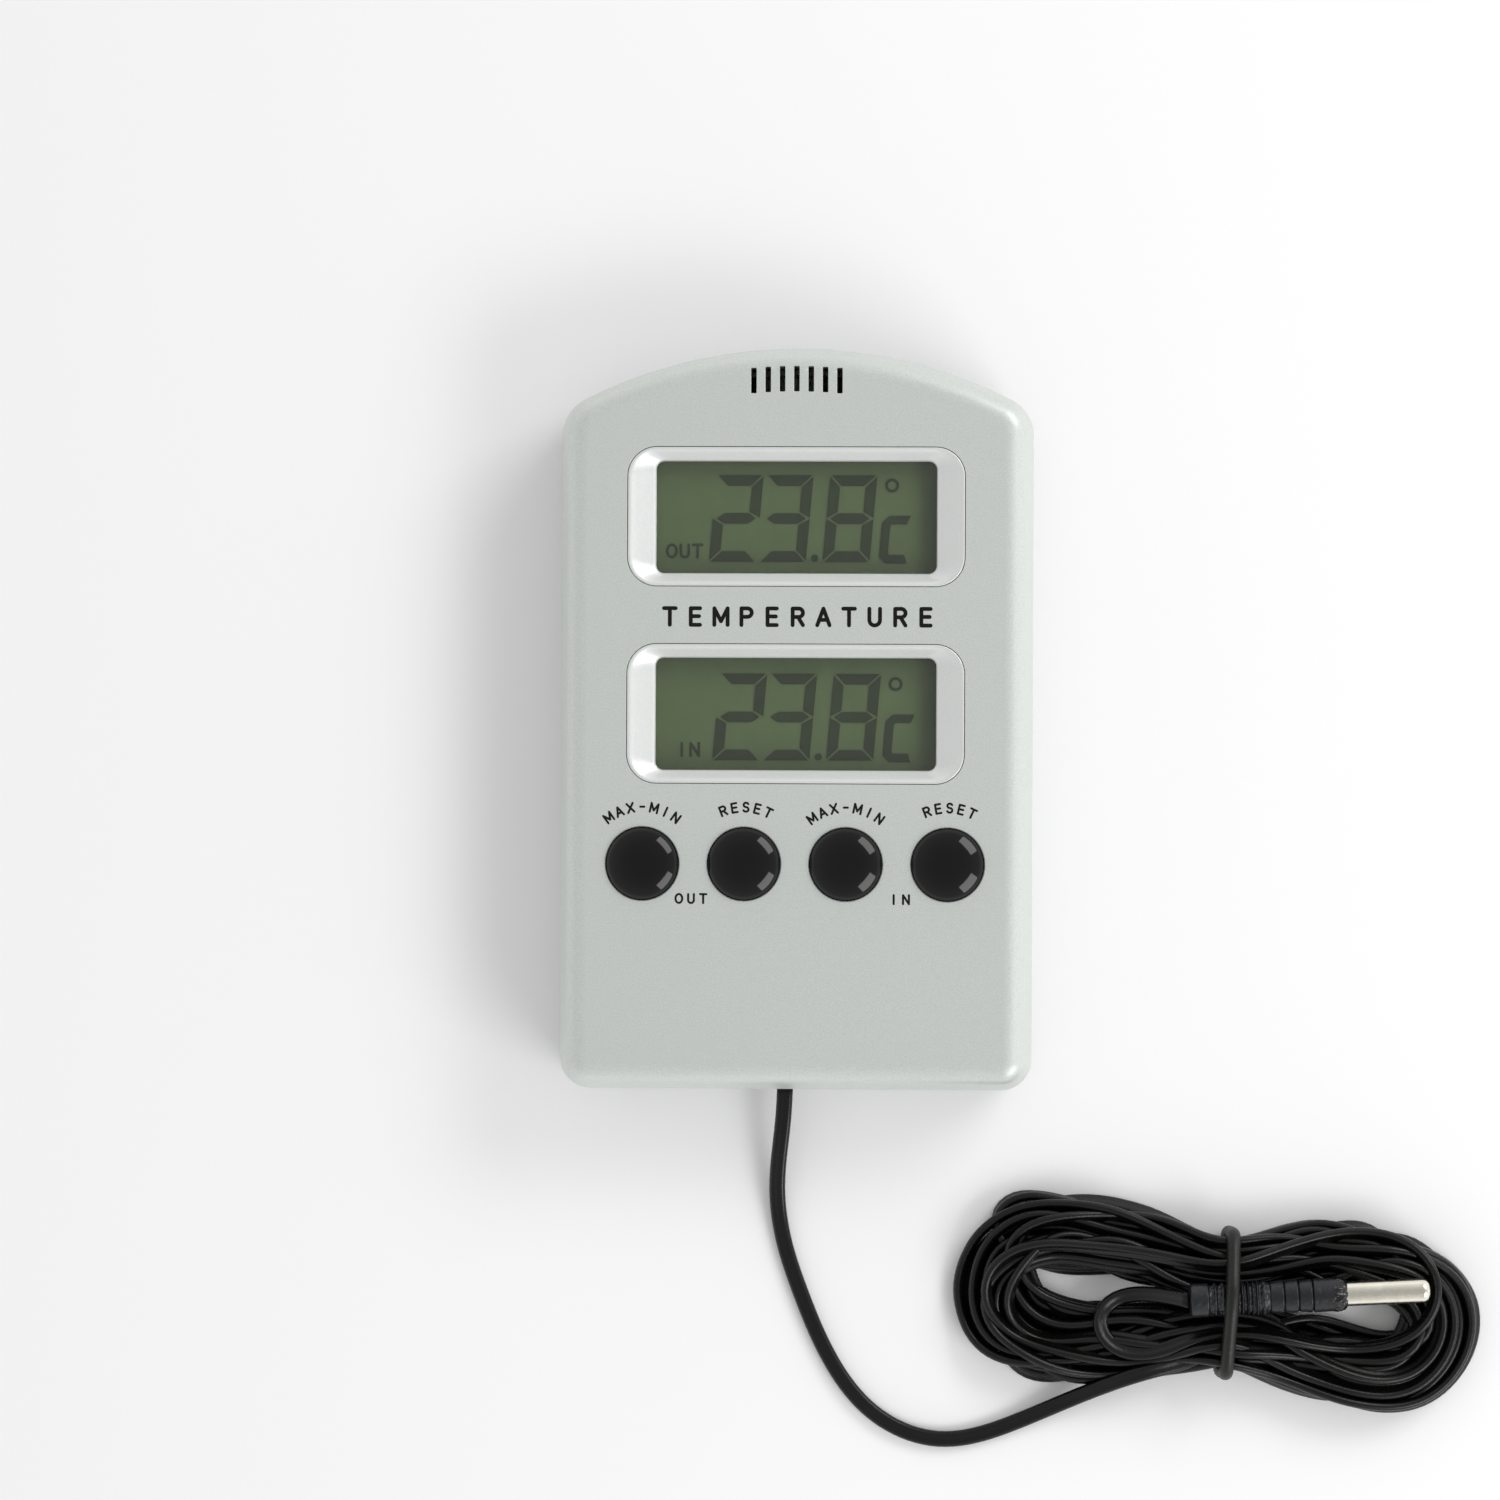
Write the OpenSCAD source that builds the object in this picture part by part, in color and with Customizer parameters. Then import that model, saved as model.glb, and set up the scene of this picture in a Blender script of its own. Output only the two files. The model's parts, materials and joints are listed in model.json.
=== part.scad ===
// Maximum minimum thermometer with two displays and an outdoor sensor on a lead.
// The case lies on its back: +Z is out of its face and +Y is its arched top.
// The origin is at the middle of the case's back, on the surface it lies on.

/* [Case] */
// Width of the case
case_w = 70; // [69:0.5:72]
// Height of the case, from its foot to the top of the arch
case_h = 110; // [109:0.5:112]
// Thickness of the case, without the buttons
case_t = 18; // [18:0.1:18.6]
// Radius of the arched top
arch_r = 70; // [68:1:76]
// Radius where the arch meets the sides
shoulder_r = 6; // [5:0.5:7]
// Radius of the two corners at the foot
foot_r = 4.6; // [4.4:0.1:5]
// Height of the parting line between the two halves
split_z = 8; // [8:0.1:8.2]

/* [Displays] */
// Width of a bezel
bezel_w = 49.4; // [49:0.1:50]
// Height of a bezel
bezel_h = 20.4; // [20:0.1:20.8]
// Width of the display seen in a bezel
view_w = 41.2; // [40:0.1:41.6]
// Height of the display seen in a bezel
view_h = 16.5; // [16:0.1:16.8]
// Centre of the upper display
upper_y = 29.4; // [29:0.1:29.8]
// Centre of the lower display
lower_y = 0.5; // [0.2:0.1:0.8]

/* [Buttons] */
// Radius of a button
button_r = 5.2; // [5:0.05:5.25]
// Distance between the centres of two buttons
button_pitch = 14.9; // [14.6:0.1:15]
// Line of the buttons' centres
button_y = -21.5; // [-21.7:0.1:-21.3]
// Height of a button above the face
button_rise = 2; // [1.6:0.1:2.2]
// Travel of a button
button_travel = 0.8; // [0.4:0.1:0.8]

/* [Stand] */
// Width of the fold-out stand
stand_w = 28; // [26:0.5:28]
// Length of the fold-out stand from its hinge
stand_len = 32; // [30:0.5:32]

/* [Sensor] */
// Radius of the sensor's moulded sleeve
sleeve_r = 2.6; // [2.4:0.1:2.6]
// Radius of the metal tip
tip_r = 1.8; // [1.6:0.1:1.9]

/* [Hidden] */
$fn = 48;
slice = 0.01;

// Case shell
face_in = case_t - 1.8;
back_wall = 1.8;
side_front = 3.2;
side_back = 2.8;
wall_lean = 1.3;
face_round = 2.7;
back_lean = 0.7;
back_round = 2.2;
tongue_h = 1.2;
arch_y = case_h / 2 - arch_r;
shoulder_x = case_w / 2 - shoulder_r;
shoulder_y = arch_y + sqrt(pow(arch_r - shoulder_r, 2) - pow(shoulder_x, 2));
shoulder_a = atan2(shoulder_y - arch_y, shoulder_x);

// Vents
vent_count = 7;
vent_pitch = 2.1;
vent_w = 0.8;
vent_len = 3.75;
vent_top = 51.5;

// Displays, from the face inwards
seat_z = case_t - 2.8;
ledge_z = seat_z - 1.2;
window_t = 1;
funnel_z = seat_z + 1.1;
glass_t = 1;
lcd_w = 45.6;
lcd_h = 20.6;
lcd_rear_h = 17.8;
holder_w = 49;
holder_h = 23.4;
ledge_w = 52.6;
ledge_h = 23.6;
seat_open_w = 43.4;
seat_open_h = 18.8;

// Circuit board
board_t = 1.6;
board_top = 9.6;
board_z = board_top - board_t;
board_low = -30;
board_high = 46.5;
board_half = 26;
board_screw_at = [[-22.5, 15], [22.5, 15], [0, -14], [0, 44]];

// Buttons and switches
button_gap = 0.17;
flange_r = 6.2;
flange_t = 1.2;
flange_z = face_in - 0.1 - flange_t;
button_side = 0.4;
dome_h = button_rise - button_side;
dome_r = (button_r * button_r + dome_h * dome_h) / (2 * dome_h);
switch_w = 6;
switch_h = 3.4;
plunger_r = 1.7;
plunger_len = 2;
plunger_top = board_top + switch_h + button_travel;

// Case screws
upper_screw = [28.4, 42.6];
lower_screw = [28.4, -50.2];
case_screw_at = [for (s = [-1, 1], at = [upper_screw, lower_screw]) [s * at.x, at.y]];
well_r = 2.2;
well_z = 3;

// Battery compartment: an AAA cell lies along X
cell_r = 5.25;
cell_len = 44.5;
cell_y = -41;
cell_z = 8.2;
cell_x0 = -20;
plus_x = cell_x0 + cell_len;
bay_x0 = -26.2;
bay_x1 = plus_x + 0.9;
bay_y0 = -47;
bay_y1 = -35;
bay_top = 13.7;
bay_wall = 1.2;
bay_roof = 0.9;
over_bay = bay_top + bay_roof + 0.6;
door_half = 24.5;
door_y1 = -34.4;
door_t = 1.6;
door_gap = 0.15;
shelf_z = 3;
tongue_x = 12;
tongue_half = 3;
rail_w = 0.5;

// Stand and its hinge
hinge_y = -27;
hinge_z = 1.6;
stand_t = 2.2;
knuckle_r = 1.2;
pin_r = 0.8;
recess_x = stand_w / 2 + 1;
recess_y0 = -29.5;
recess_y1 = hinge_y + stand_len + 3;
recess_d = 3.1;
boss_x = recess_x + 3.4;

// Hanging keyhole
key_y = 42;
key_r = 4;
key_slot_r = 2;
key_slot_y = 48.5;
key_pocket = 5.2;

// Lead: a flat twin cord
lead_w = 2.4;
lead_t = 1.3;
exit_x = -1.6;
exit_z = 4.5;
lead_sides = 8;

// Route of the free lead, from the exit to the hank
LEAD = [
    [-1.6, -55, 4.5], [-1.7, -59, 4.4], [-2.2, -63, 3.8], [-2.7, -67, 2.7], [-2.9, -71, 1.5],
    [-2.5, -75, 0.8], [-1.4, -80, 0.7], [0.8, -86, 0.7], [3.2, -92, 0.7], [6.4, -98, 0.7],
    [10.4, -103, 0.7], [15.5, -106.4, 0.7], [21.5, -108, 0.7], [28, -107, 0.7],
    [35.5, -104, 1], [42, -101, 2.2]
];

// Lead inside the case, from the cord clamp back to the exit
LEAD_IN = [
    [13, -49.5, 4.5], [8, -49.5, 4.5], [3, -49.5, 4.5], [0.4, -49.9, 4.5],
    [-1.2, -51.5, 4.5], [-1.6, -53.5, 4.5], [-1.6, -55, 4.5]
];

// Middle of the two sensor wires, from the end of the lead over the compartment to the board
WIRES = [
    [13.6, -49.7, 4.5], [14.8, -49.7, 4.7], [16.4, -49.9, 6], [17, -50, 8.5], [17, -50, 11.5],
    [17, -49.8, 13.8], [17, -48.4, 15.3], [17, -44, 15.3], [17, -38, 15.3], [17, -33.4, 15.3],
    [17, -31.6, 14.4], [17, -30.2, 12.6], [17, -29.2, 11], [17, -29, 9.6]
];
clamp_x = [5.6, 10.4];
clamp_y = -51.3;
wire_r = 0.5;
wire_gap = 0.57;

// Hank, its tie and the sensor that lies on it
hank_h = 9;
left_lobe = [38.5, -86];
left_lobe_r = 14.5;
right_lobe = [86.6, -88];
right_lobe_r = 15;
tie_x = 64.3;
tie_y = -86.55;
tie_half = 10.3;
tie_top = 11.85;
tie_r = 1.05;
tie_bend = 4;
waist_half = 9.2;
sensor_start = [58.5, -85.9, 8.2];
sensor_turn = 3;
sleeve_len = 22.4;
collar_len = 0.8;
tip_len = 12.2;

// Points on an arc, from angle a to angle b
function arc(centre, r, a, b, steps) =
    [for (i = [0:steps]) centre + r * [cos(a + (b - a) * i / steps), sin(a + (b - a) * i / steps)]];

// The case's outline, moved in by the given distance
function outline(inset) = concat(
    arc([case_w / 2 - foot_r, foot_r - case_h / 2], foot_r - inset, -90, 0, 6),
    arc([shoulder_x, shoulder_y], shoulder_r - inset, 0, shoulder_a, 5),
    [for (p = arc([0, arch_y], arch_r - inset, shoulder_a, 180 - shoulder_a, 20))
        if (abs(p.x) < (arch_r - inset) * cos(shoulder_a) - 0.1) p],
    arc([-shoulder_x, shoulder_y], shoulder_r - inset, 180 - shoulder_a, 180, 5),
    arc([foot_r - case_w / 2, foot_r - case_h / 2], foot_r - inset, 180, 270, 6)
);

// Outlines stacked by a list of [height, inset]
function stacked(profile) = [for (s = profile) [for (p = outline(s[1])) [p.x, p.y, s[0]]]];

front_profile = concat(
    [[split_z, 0]],
    [for (a = [0:18:90])
        [case_t - face_round * (1 - sin(a)), wall_lean + face_round * (1 - cos(a))]]
);
back_profile = concat(
    [for (a = [90:-18:0])
        [back_round * (1 - sin(a)), back_lean + back_round * (1 - cos(a))]],
    [[split_z, 0]]
);

// Smooth curve through hand-picked points, with k steps between two of them
function blend4(a, b, c, d, t) = 0.5 * (
    2 * b + (c - a) * t + (2 * a - 5 * b + 4 * c - d) * t * t + (3 * b - 3 * c + d - a) * t * t * t
);
function smooth(path, k) = concat(
    [for (i = [0:len(path) - 2]) for (j = [0:k - 1]) blend4(
        path[max(i - 1, 0)], path[i], path[i + 1], path[min(i + 2, len(path) - 1)], j / k
    )],
    [path[len(path) - 1]]
);
function unit(v) = v / norm(v);
function heading(path, i) = unit(path[min(i + 1, len(path) - 1)] - path[max(i - 1, 0)]);
function oval(centre, t, up, w, h, sides) =
    let (side = unit(cross(up, t)), rise = cross(t, side))
    [for (k = [0:sides - 1])
        centre + side * w / 2 * cos(360 * k / sides) + rise * h / 2 * sin(360 * k / sides)];

// Closed solid over a stack of rings that have the same number of points
module skin(rings) {
    n = len(rings[0]);
    last = len(rings) - 1;
    polyhedron(
        points = [for (r = rings) each r],
        faces = concat(
            [[for (j = [0:n - 1]) j]],
            [for (i = [0:last - 1]) for (j = [0:n - 1])
                [i * n + j, (i + 1) * n + j, (i + 1) * n + (j + 1) % n, i * n + (j + 1) % n]],
            [[for (j = [n - 1:-1:0]) last * n + j]]
        )
    );
}

module tube(path, w, h, up, sides) {
    skin([for (i = [0:len(path) - 1]) oval(path[i], heading(path, i), up, w, h, sides)]);
}

// Rectangle with round corners, centred
module plate(w, h, r, t) {
    linear_extrude(t)
        union() {
            square([w - 2 * r, h], center = true);
            square([w, h - 2 * r], center = true);
            for (sx = [-1, 1])
                for (sy = [-1, 1])
                    translate([sx * (w / 2 - r), sy * (h / 2 - r)])
                        circle(r);
        }
}

// Box from its lowest corner to its highest
module block(a, b) {
    translate(a)
        cube(b - a);
}

module rod(at, r, z0, z1) {
    translate([at.x, at.y, z0])
        cylinder(r = r, h = z1 - z0);
}

// Round bar along X
module bar(x0, x1, y, z, r) {
    translate([x0, y, z])
        rotate([0, 90, 0])
            cylinder(r = r, h = x1 - x0);
}

// Pan-head screw that points up, with a cross recess in its head
module screw(at, z, head_r, head_h, shank_r, len) {
    difference() {
        union() {
            rod(at, head_r, z, z + head_h);
            rod(at, shank_r, z + head_h, z + head_h + len);
        }
        for (turn = [0, 90])
            translate([at.x, at.y, z])
                rotate([0, 0, turn])
                    cube([head_r * 1.3, head_r * 0.28, head_h], center = true);
    }
}

function button_x(i) = (i - 1.5) * button_pitch;

// Case ------------------------------------------------------------------

module vents() {
    for (i = [0:vent_count - 1]) {
        x = (i - (vent_count - 1) / 2) * vent_pitch;
        top = vent_top - arch_r + sqrt(arch_r * arch_r - x * x);
        block([x - vent_w / 2, top - vent_len, face_in - 1], [x + vent_w / 2, top, case_t + 1]);
    }
}

module display_seat(y) {
    translate([0, y, seat_z])
        plate(bezel_w + 0.2, bezel_h + 0.2, 4.4, case_t);
    translate([0, y, ledge_z - 1])
        plate(seat_open_w, seat_open_h, 2, case_t);
}

module front_case() {
    color([0.77, 0.79, 0.78])
        difference() {
            union() {
                difference() {
                    skin(stacked(front_profile));
                    translate([0, 0, split_z - 1])
                        linear_extrude(face_in - split_z + 1)
                            polygon(outline(side_front));
                }
                for (y = [upper_y, lower_y])
                    translate([0, y, ledge_z])
                        plate(ledge_w, ledge_h, 2, face_in - ledge_z + 0.5);
                for (at = case_screw_at)
                    rod(at, at.y > 0 ? 2.6 : 1.9, split_z, face_in + 0.5);
                for (at = board_screw_at)
                    rod(at, 1.9, board_top, face_in + 0.5);
            }
            vents();
            display_seat(upper_y);
            display_seat(lower_y);
            for (i = [0:3])
                rod([button_x(i), button_y], button_r + button_gap, face_in - 1, case_t + 1);
            for (at = case_screw_at)
                rod(at, 1, split_z - 1, 12);
            for (at = board_screw_at)
                rod(at, 0.8, board_top - 1, 14.4);
        }
}

module stand_pocket() {
    block([-recess_x, recess_y0, -1], [recess_x, recess_y1, recess_d]);
    bar(-boss_x + 0.6, boss_x - 0.6, hinge_y, hinge_z, pin_r + 0.05);
}

// Closed pocket behind the keyhole, for the head of a wall screw
module key_cap(top, wall) {
    block([-4.8 - wall, 37 - wall, back_wall - (wall > 0 ? 0.5 : 0)], [4.8 + wall, 50.5 + wall / 2, top]);
}

module keyhole() {
    rod([0, key_y], key_r, -1, back_wall + 1);
    rod([0, key_slot_y], key_slot_r, -1, back_wall + 1);
    block([-key_slot_r, key_y, -1], [key_slot_r, key_slot_y, back_wall + 1]);
}

// The space that the battery door takes out of the back, with room round it
module door_space(gap) {
    block([-door_half - gap, -case_h, -1], [door_half + gap, door_y1 + gap, door_t + gap]);
}

module battery_bay() {
    difference() {
        block(
            [bay_x0 - bay_wall, bay_y0 - bay_wall, back_wall - 0.5],
            [bay_x1 + bay_wall, bay_y1 + bay_wall, bay_top + bay_roof]
        );
        difference() {
            block([bay_x0, bay_y0, -1], [bay_x1, bay_y1, bay_top]);
            for (x = [-13, 15])
                difference() {
                    block([x, bay_y0 - 1, cell_z + 0.8], [x + 1.6, bay_y1 + 1, bay_top + 1]);
                    bar(x - 1, x + 3, cell_y, cell_z, cell_r + 0.02);
                }
        }
        // Slots for the two contacts' solder tabs
        for (x = [bay_x0, plus_x - 0.1])
            block([x, cell_y - 1.6, bay_top - 1], [x + 0.6, cell_y + 1.6, bay_top + 2]);
    }
}

module tongue() {
    difference() {
        union() {
            translate([0, 0, split_z - 2])
                linear_extrude(2)
                    polygon(outline(side_back - 0.3));
            translate([0, 0, split_z - 0.5])
                linear_extrude(tongue_h + 0.5)
                    polygon(outline(side_front + 0.1));
        }
        translate([0, 0, split_z - 3])
            linear_extrude(tongue_h + 4)
                polygon(outline(side_front + 0.85));
        for (at = case_screw_at)
            rod(at, 3, split_z, split_z + tongue_h + 1);
        // Gap for the lead's clamp and the sensor wires
        block([-4, side_back - case_h / 2, split_z - 3], [20, -50, split_z + tongue_h + 1]);
    }
}

module back_case() {
    color([0.74, 0.76, 0.75])
        difference() {
            union() {
                difference() {
                    skin(stacked(back_profile));
                    translate([0, 0, back_wall])
                        linear_extrude(split_z)
                            polygon(outline(side_back));
                }
                tongue();
                battery_bay();
                for (at = case_screw_at)
                    rod(at, 2.9, back_wall - 0.5, split_z);
                block(
                    [-recess_x - 1.2, recess_y0 - 1.2, back_wall - 0.5],
                    [recess_x + 1.2, recess_y1 + 1.2, recess_d + 1.1]
                );
                block([-boss_x, hinge_y - 2, back_wall - 0.5], [boss_x, hinge_y + 2, recess_d + 1.1]);
                // Shelf over the door, between the compartment and the foot, with the clamp's rib and posts
                block(
                    [-door_half - 1.4, -case_h / 2 + 2, back_wall - 0.5],
                    [door_half + 1.4, bay_y0, shelf_z]
                );
                block([4.5, -52.4, shelf_z - 0.5], [11.5, -48.2, exit_z - lead_t / 2]);
                key_cap(key_pocket + 1, 1.2);
            }
            stand_pocket();
            keyhole();
            key_cap(key_pocket, 0);
            door_space(door_gap);
            block([-door_half - door_gap, bay_y0, door_t], [door_half + door_gap, bay_y1, back_wall + 1]);
            for (s = [-1, 1]) {
                // Notch for one of the door's tongues, and the groove for one of its rails
                block(
                    [s * tongue_x - tongue_half - 0.3, door_y1 - 1.5, door_t],
                    [s * tongue_x + tongue_half + 0.3, door_y1 + 1.7, 3]
                );
                block(
                    [s * door_half - rail_w - 0.2, -case_h, 0.5],
                    [s * door_half + rail_w + 0.2, -49.8, 1.3]
                );
            }
            for (at = case_screw_at) {
                rod(at, well_r, -1, well_z);
                rod(at, 1.15, -1, split_z + 1);
            }
            for (x = [exit_x - 0.5, exit_x + 0.5])
                translate([x, -50, exit_z])
                    rotate([90, 0, 0])
                        cylinder(r = 0.8, h = 8);
            block([exit_x - 0.5, -58, exit_z - 0.8], [exit_x + 0.5, -50, exit_z + 0.8]);
            // The clamp's two screw holes
            for (x = clamp_x)
                rod([x, clamp_y], 0.5, shelf_z - 0.8, exit_z);
        }
}

// The door closes the battery compartment and runs out over the foot
module battery_door() {
    color([0.73, 0.75, 0.74])
        union() {
            difference() {
                intersection() {
                    skin(stacked(back_profile));
                    block([-door_half, -case_h, -1], [door_half, door_y1, door_t]);
                }
                // Grip: a row of grooves across the thumb's path
                for (i = [0:4])
                    block([-7 + i * 0.6, -51 + i * 1.5, -1], [7 - i * 0.6, -50.3 + i * 1.5, 0.4]);
            }
            for (s = [-1, 1]) {
                // Tongue that hooks over the edge of the opening, and a rail at the foot
                block(
                    [s * tongue_x - tongue_half, door_y1 - 2, door_t - 0.3],
                    [s * tongue_x + tongue_half, door_y1 - 0.4, 2.75]
                );
                block(
                    [s * tongue_x - tongue_half, door_y1 - 2, 1.95],
                    [s * tongue_x + tongue_half, door_y1 + 1.4, 2.75]
                );
                block([s * door_half - rail_w, -53.4, 0.6], [s * door_half + rail_w, -50, 1.2]);
            }
        }
}

module case_screws() {
    color([0.55, 0.56, 0.58])
        for (at = case_screw_at)
            screw(at, well_z - 1.3, 1.9, 1.3, 1, 8);
}

// Stand: folds flat into the back and turns out about its lower edge
module table_stand() {
    w = stand_w;
    tip = hinge_y + stand_len;
    color([0.72, 0.74, 0.73])
        difference() {
            union() {
                bar(-w / 2, w / 2, hinge_y, hinge_z, knuckle_r);
                block([-w / 2, hinge_y, hinge_z - stand_t / 2], [w / 2, tip - 4, hinge_z + stand_t / 2]);
                block([4 - w / 2, tip - 5, hinge_z - stand_t / 2], [w / 2 - 4, tip, hinge_z + stand_t / 2]);
                for (s = [-1, 1])
                    rod([s * (w / 2 - 4), tip - 4], 4, hinge_z - stand_t / 2, hinge_z + stand_t / 2);
            }
            // Moulded hollow that leaves a rim and one cross rib
            for (y = [hinge_y + 4, hinge_y + 16])
                block([3 - w / 2, y, hinge_z - 0.3], [w / 2 - 3, y + 9.5, hinge_z + stand_t]);
            // Thumb notch in the free end
            rod([0, tip + 3], 5, -1, 4);
            bar(-w, w, hinge_y, hinge_z, pin_r);
        }
}

module stand_pin() {
    color([0.8, 0.8, 0.82])
        bar(-boss_x + 0.9, boss_x - 0.9, hinge_y, hinge_z, pin_r);
}

// Displays ----------------------------------------------------------------

module bezel(y) {
    color([0.84, 0.86, 0.84])
        translate([0, y, 0])
            difference() {
                translate([0, 0, seat_z])
                    plate(bezel_w, bezel_h, 4.3, case_t - seat_z);
                hull() {
                    translate([0, 0, case_t])
                        plate(bezel_w - 0.9, bezel_h - 0.9, 3.9, slice, $fn = 32);
                    translate([0, 0, funnel_z])
                        plate(view_w, view_h, 2, slice, $fn = 32);
                }
                translate([0, 0, seat_z - 1])
                    plate(view_w, view_h, 2, case_t);
            }
}

module window(y) {
    color([0.8, 0.85, 0.8, 0.4])
        translate([0, y, seat_z - window_t])
            plate(seat_open_w - 0.2, seat_open_h - 0.2, 1.9, window_t);
}

// Two glasses: the front one is taller, and its lower edge carries the contacts
module lcd(y) {
    color([0.35, 0.4, 0.28])
        translate([0, y, ledge_z]) {
            block([-lcd_w / 2, -lcd_h / 2, -glass_t], [lcd_w / 2, lcd_h / 2, 0]);
            block([-lcd_w / 2, lcd_h / 2 - lcd_rear_h, -2 * glass_t], [lcd_w / 2, lcd_h / 2, -glass_t]);
        }
}

module lcd_holder(y) {
    color([0.9, 0.9, 0.88])
        translate([0, y, 0])
            difference() {
                block([-holder_w / 2, -holder_h / 2, board_top], [holder_w / 2, holder_h / 2, ledge_z]);
                block(
                    [-lcd_w / 2 - 0.1, -lcd_h / 2 - 0.1, ledge_z - 2 * glass_t],
                    [lcd_w / 2 + 0.1, lcd_h / 2 + 0.1, ledge_z + 1]
                );
                block([-20.5, -6.4, board_top - 1], [20.5, 8.4, ledge_z + 1]);
                block([-22.1, -10.2, board_top - 1], [22.1, -8, ledge_z + 1]);
            }
}

module lcd_strip(y) {
    color([0.25, 0.25, 0.27])
        translate([0, y, 0])
            block([-22, -10.1, board_top], [22, -8.1, ledge_z - glass_t]);
}

// Electronics ---------------------------------------------------------------

module circuit_board() {
    color([0.2, 0.42, 0.24])
        difference() {
            union() {
                block([-board_half, board_low, board_z], [board_half, 36, board_top]);
                block([-22, 35, board_z], [22, board_high, board_top]);
            }
            for (at = board_screw_at)
                rod(at, 1, board_z - 1, board_top + 1);
        }
}

// Epoxy over each display's chip, on the back of the board
module chip_blobs() {
    color([0.06, 0.06, 0.07])
        for (at = [[-6, 5], [7, 27]])
            intersection() {
                translate([at.x, at.y, board_z + 7])
                    sphere(r = 8.6, $fn = 64);
                rod(at, 6, board_z - 3, board_z);
            }
}

module board_parts() {
    // Crystal cans
    color([0.75, 0.76, 0.78])
        for (at = [[-20, 2], [20, 28]])
            translate([at.x, at.y, board_z - 1])
                rotate([90, 0, 0])
                    cylinder(r = 1, h = 6);
    // Storage capacitor
    color([0.1, 0.12, 0.3])
        rod([21, -8], 2.5, board_z - 4.5, board_z);
    // Chip resistors
    color([0.12, 0.12, 0.12])
        for (i = [0:5])
            block([-12 + 3.4 * i, -26.6, board_z - 0.6], [-10 + 3.4 * i, -25.4, board_z]);
}

module board_screws() {
    color([0.6, 0.61, 0.63])
        for (at = board_screw_at)
            screw(at, board_z - 1.3, 1.8, 1.3, 0.8, 6);
}

module button(i) {
    color([0.03, 0.03, 0.035])
        translate([button_x(i), button_y, 0]) {
            rod([0, 0], plunger_r - 0.1, plunger_top, flange_z);
            rod([0, 0], flange_r, flange_z, flange_z + flange_t);
            intersection() {
                rod([0, 0], button_r, flange_z + flange_t, case_t + button_rise + 1);
                translate([0, 0, case_t + button_rise - dome_r])
                    sphere(r = dome_r, $fn = 96);
            }
        }
}

module plunger(i) {
    color([0.15, 0.15, 0.16])
        rod([button_x(i), button_y], plunger_r, plunger_top - plunger_len, plunger_top);
}

module switch_body(i) {
    x = button_x(i);
    color([0.3, 0.3, 0.32])
        difference() {
            block(
                [x - switch_w / 2, button_y - switch_w / 2, board_top],
                [x + switch_w / 2, button_y + switch_w / 2, board_top + switch_h]
            );
            rod([x, button_y], plunger_r + 0.05, board_top + 1.1, board_top + switch_h + 1);
        }
}

// Bead on two legs behind the vents
module indoor_sensor() {
    color([0.5, 0.28, 0.1])
        union() {
            translate([4.5, 49, 13.5])
                sphere(r = 1.2);
            for (x = [3.8, 5.2]) {
                rod([x, 45.6], 0.25, board_top, 13.5);
                translate([x, 45.6, 13.5])
                    sphere(r = 0.25, $fn = 24);
                translate([x, 49, 13.5])
                    rotate([90, 0, 0])
                        cylinder(r = 0.25, h = 3.4);
            }
        }
}

// Battery ---------------------------------------------------------------

module battery() {
    color([0.16, 0.2, 0.26])
        union() {
            bar(cell_x0, cell_x0 + cell_len - 0.9, cell_y, cell_z, cell_r);
            bar(cell_x0, cell_x0 + cell_len, cell_y, cell_z, 1.9);
        }
}

module contact_plate(x) {
    block([x, cell_y - 4.5, 2.4], [x + 0.4, cell_y + 4.5, bay_top - 0.3]);
    block([x, cell_y - 1.4, bay_top - 2], [x + 0.4, cell_y + 1.4, over_bay + 0.3]);
}

module positive_contact() {
    color([0.82, 0.82, 0.8])
        contact_plate(plus_x);
}

module negative_spring() {
    turns = 4;
    start = bay_x0 + 0.3;
    reach = cell_x0 - start - 0.65;
    coil = [for (i = [0:16 * turns])
        let (s = i / (16 * turns), r = 4 - 1.6 * s)
        [start + 0.3 + reach * s, cell_y + r * cos(22.5 * i), cell_z + r * sin(22.5 * i)]];
    color([0.82, 0.82, 0.8]) {
        contact_plate(bay_x0 + 0.1);
        tube(coil, 0.6, 0.6, [1, 0, 0], 6);
    }
}

// Red and black wires from the contacts' tabs to the board
module battery_wires() {
    for (s = [[plus_x + 0.2, 24, "firebrick"], [bay_x0 + 0.3, -24, [0.1, 0.1, 0.1]]])
        color(s[2])
            tube(
                smooth([
                    [s[0], cell_y + 1.9, over_bay], [s[0], cell_y + 3.5, over_bay],
                    [s[0], -34.4, over_bay + 0.1], [s[1], -31.2, 13.9],
                    [s[1], -29.4, 11.4], [s[1], -29, 10.2], [s[1], -29, board_top]
                ], 2),
                1, 1, [1, 0, 0], 8
            );
}

// Lead inside the case ------------------------------------------------------

module lead_inside() {
    color([0.05, 0.05, 0.05])
        tube(smooth(LEAD_IN, 2), lead_w, lead_t, [0, 0, 1], lead_sides);
}

module cord_clamp() {
    color([0.3, 0.3, 0.32])
        difference() {
            block([4.7, -52.1, exit_z + lead_t / 2], [11.3, -48.3, exit_z + lead_t / 2 + 1.2]);
            for (x = clamp_x)
                rod([x, clamp_y], 0.6, exit_z, exit_z + 3);
        }
}

module clamp_screws() {
    head_z = exit_z + lead_t / 2 + 1.2;
    color([0.6, 0.61, 0.63])
        for (x = clamp_x)
            translate([x, clamp_y, 0])
                mirror([0, 0, 1])
                    screw([0, 0], -head_z - 0.7, 0.85, 0.7, 0.5, 3.8);
}

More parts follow.
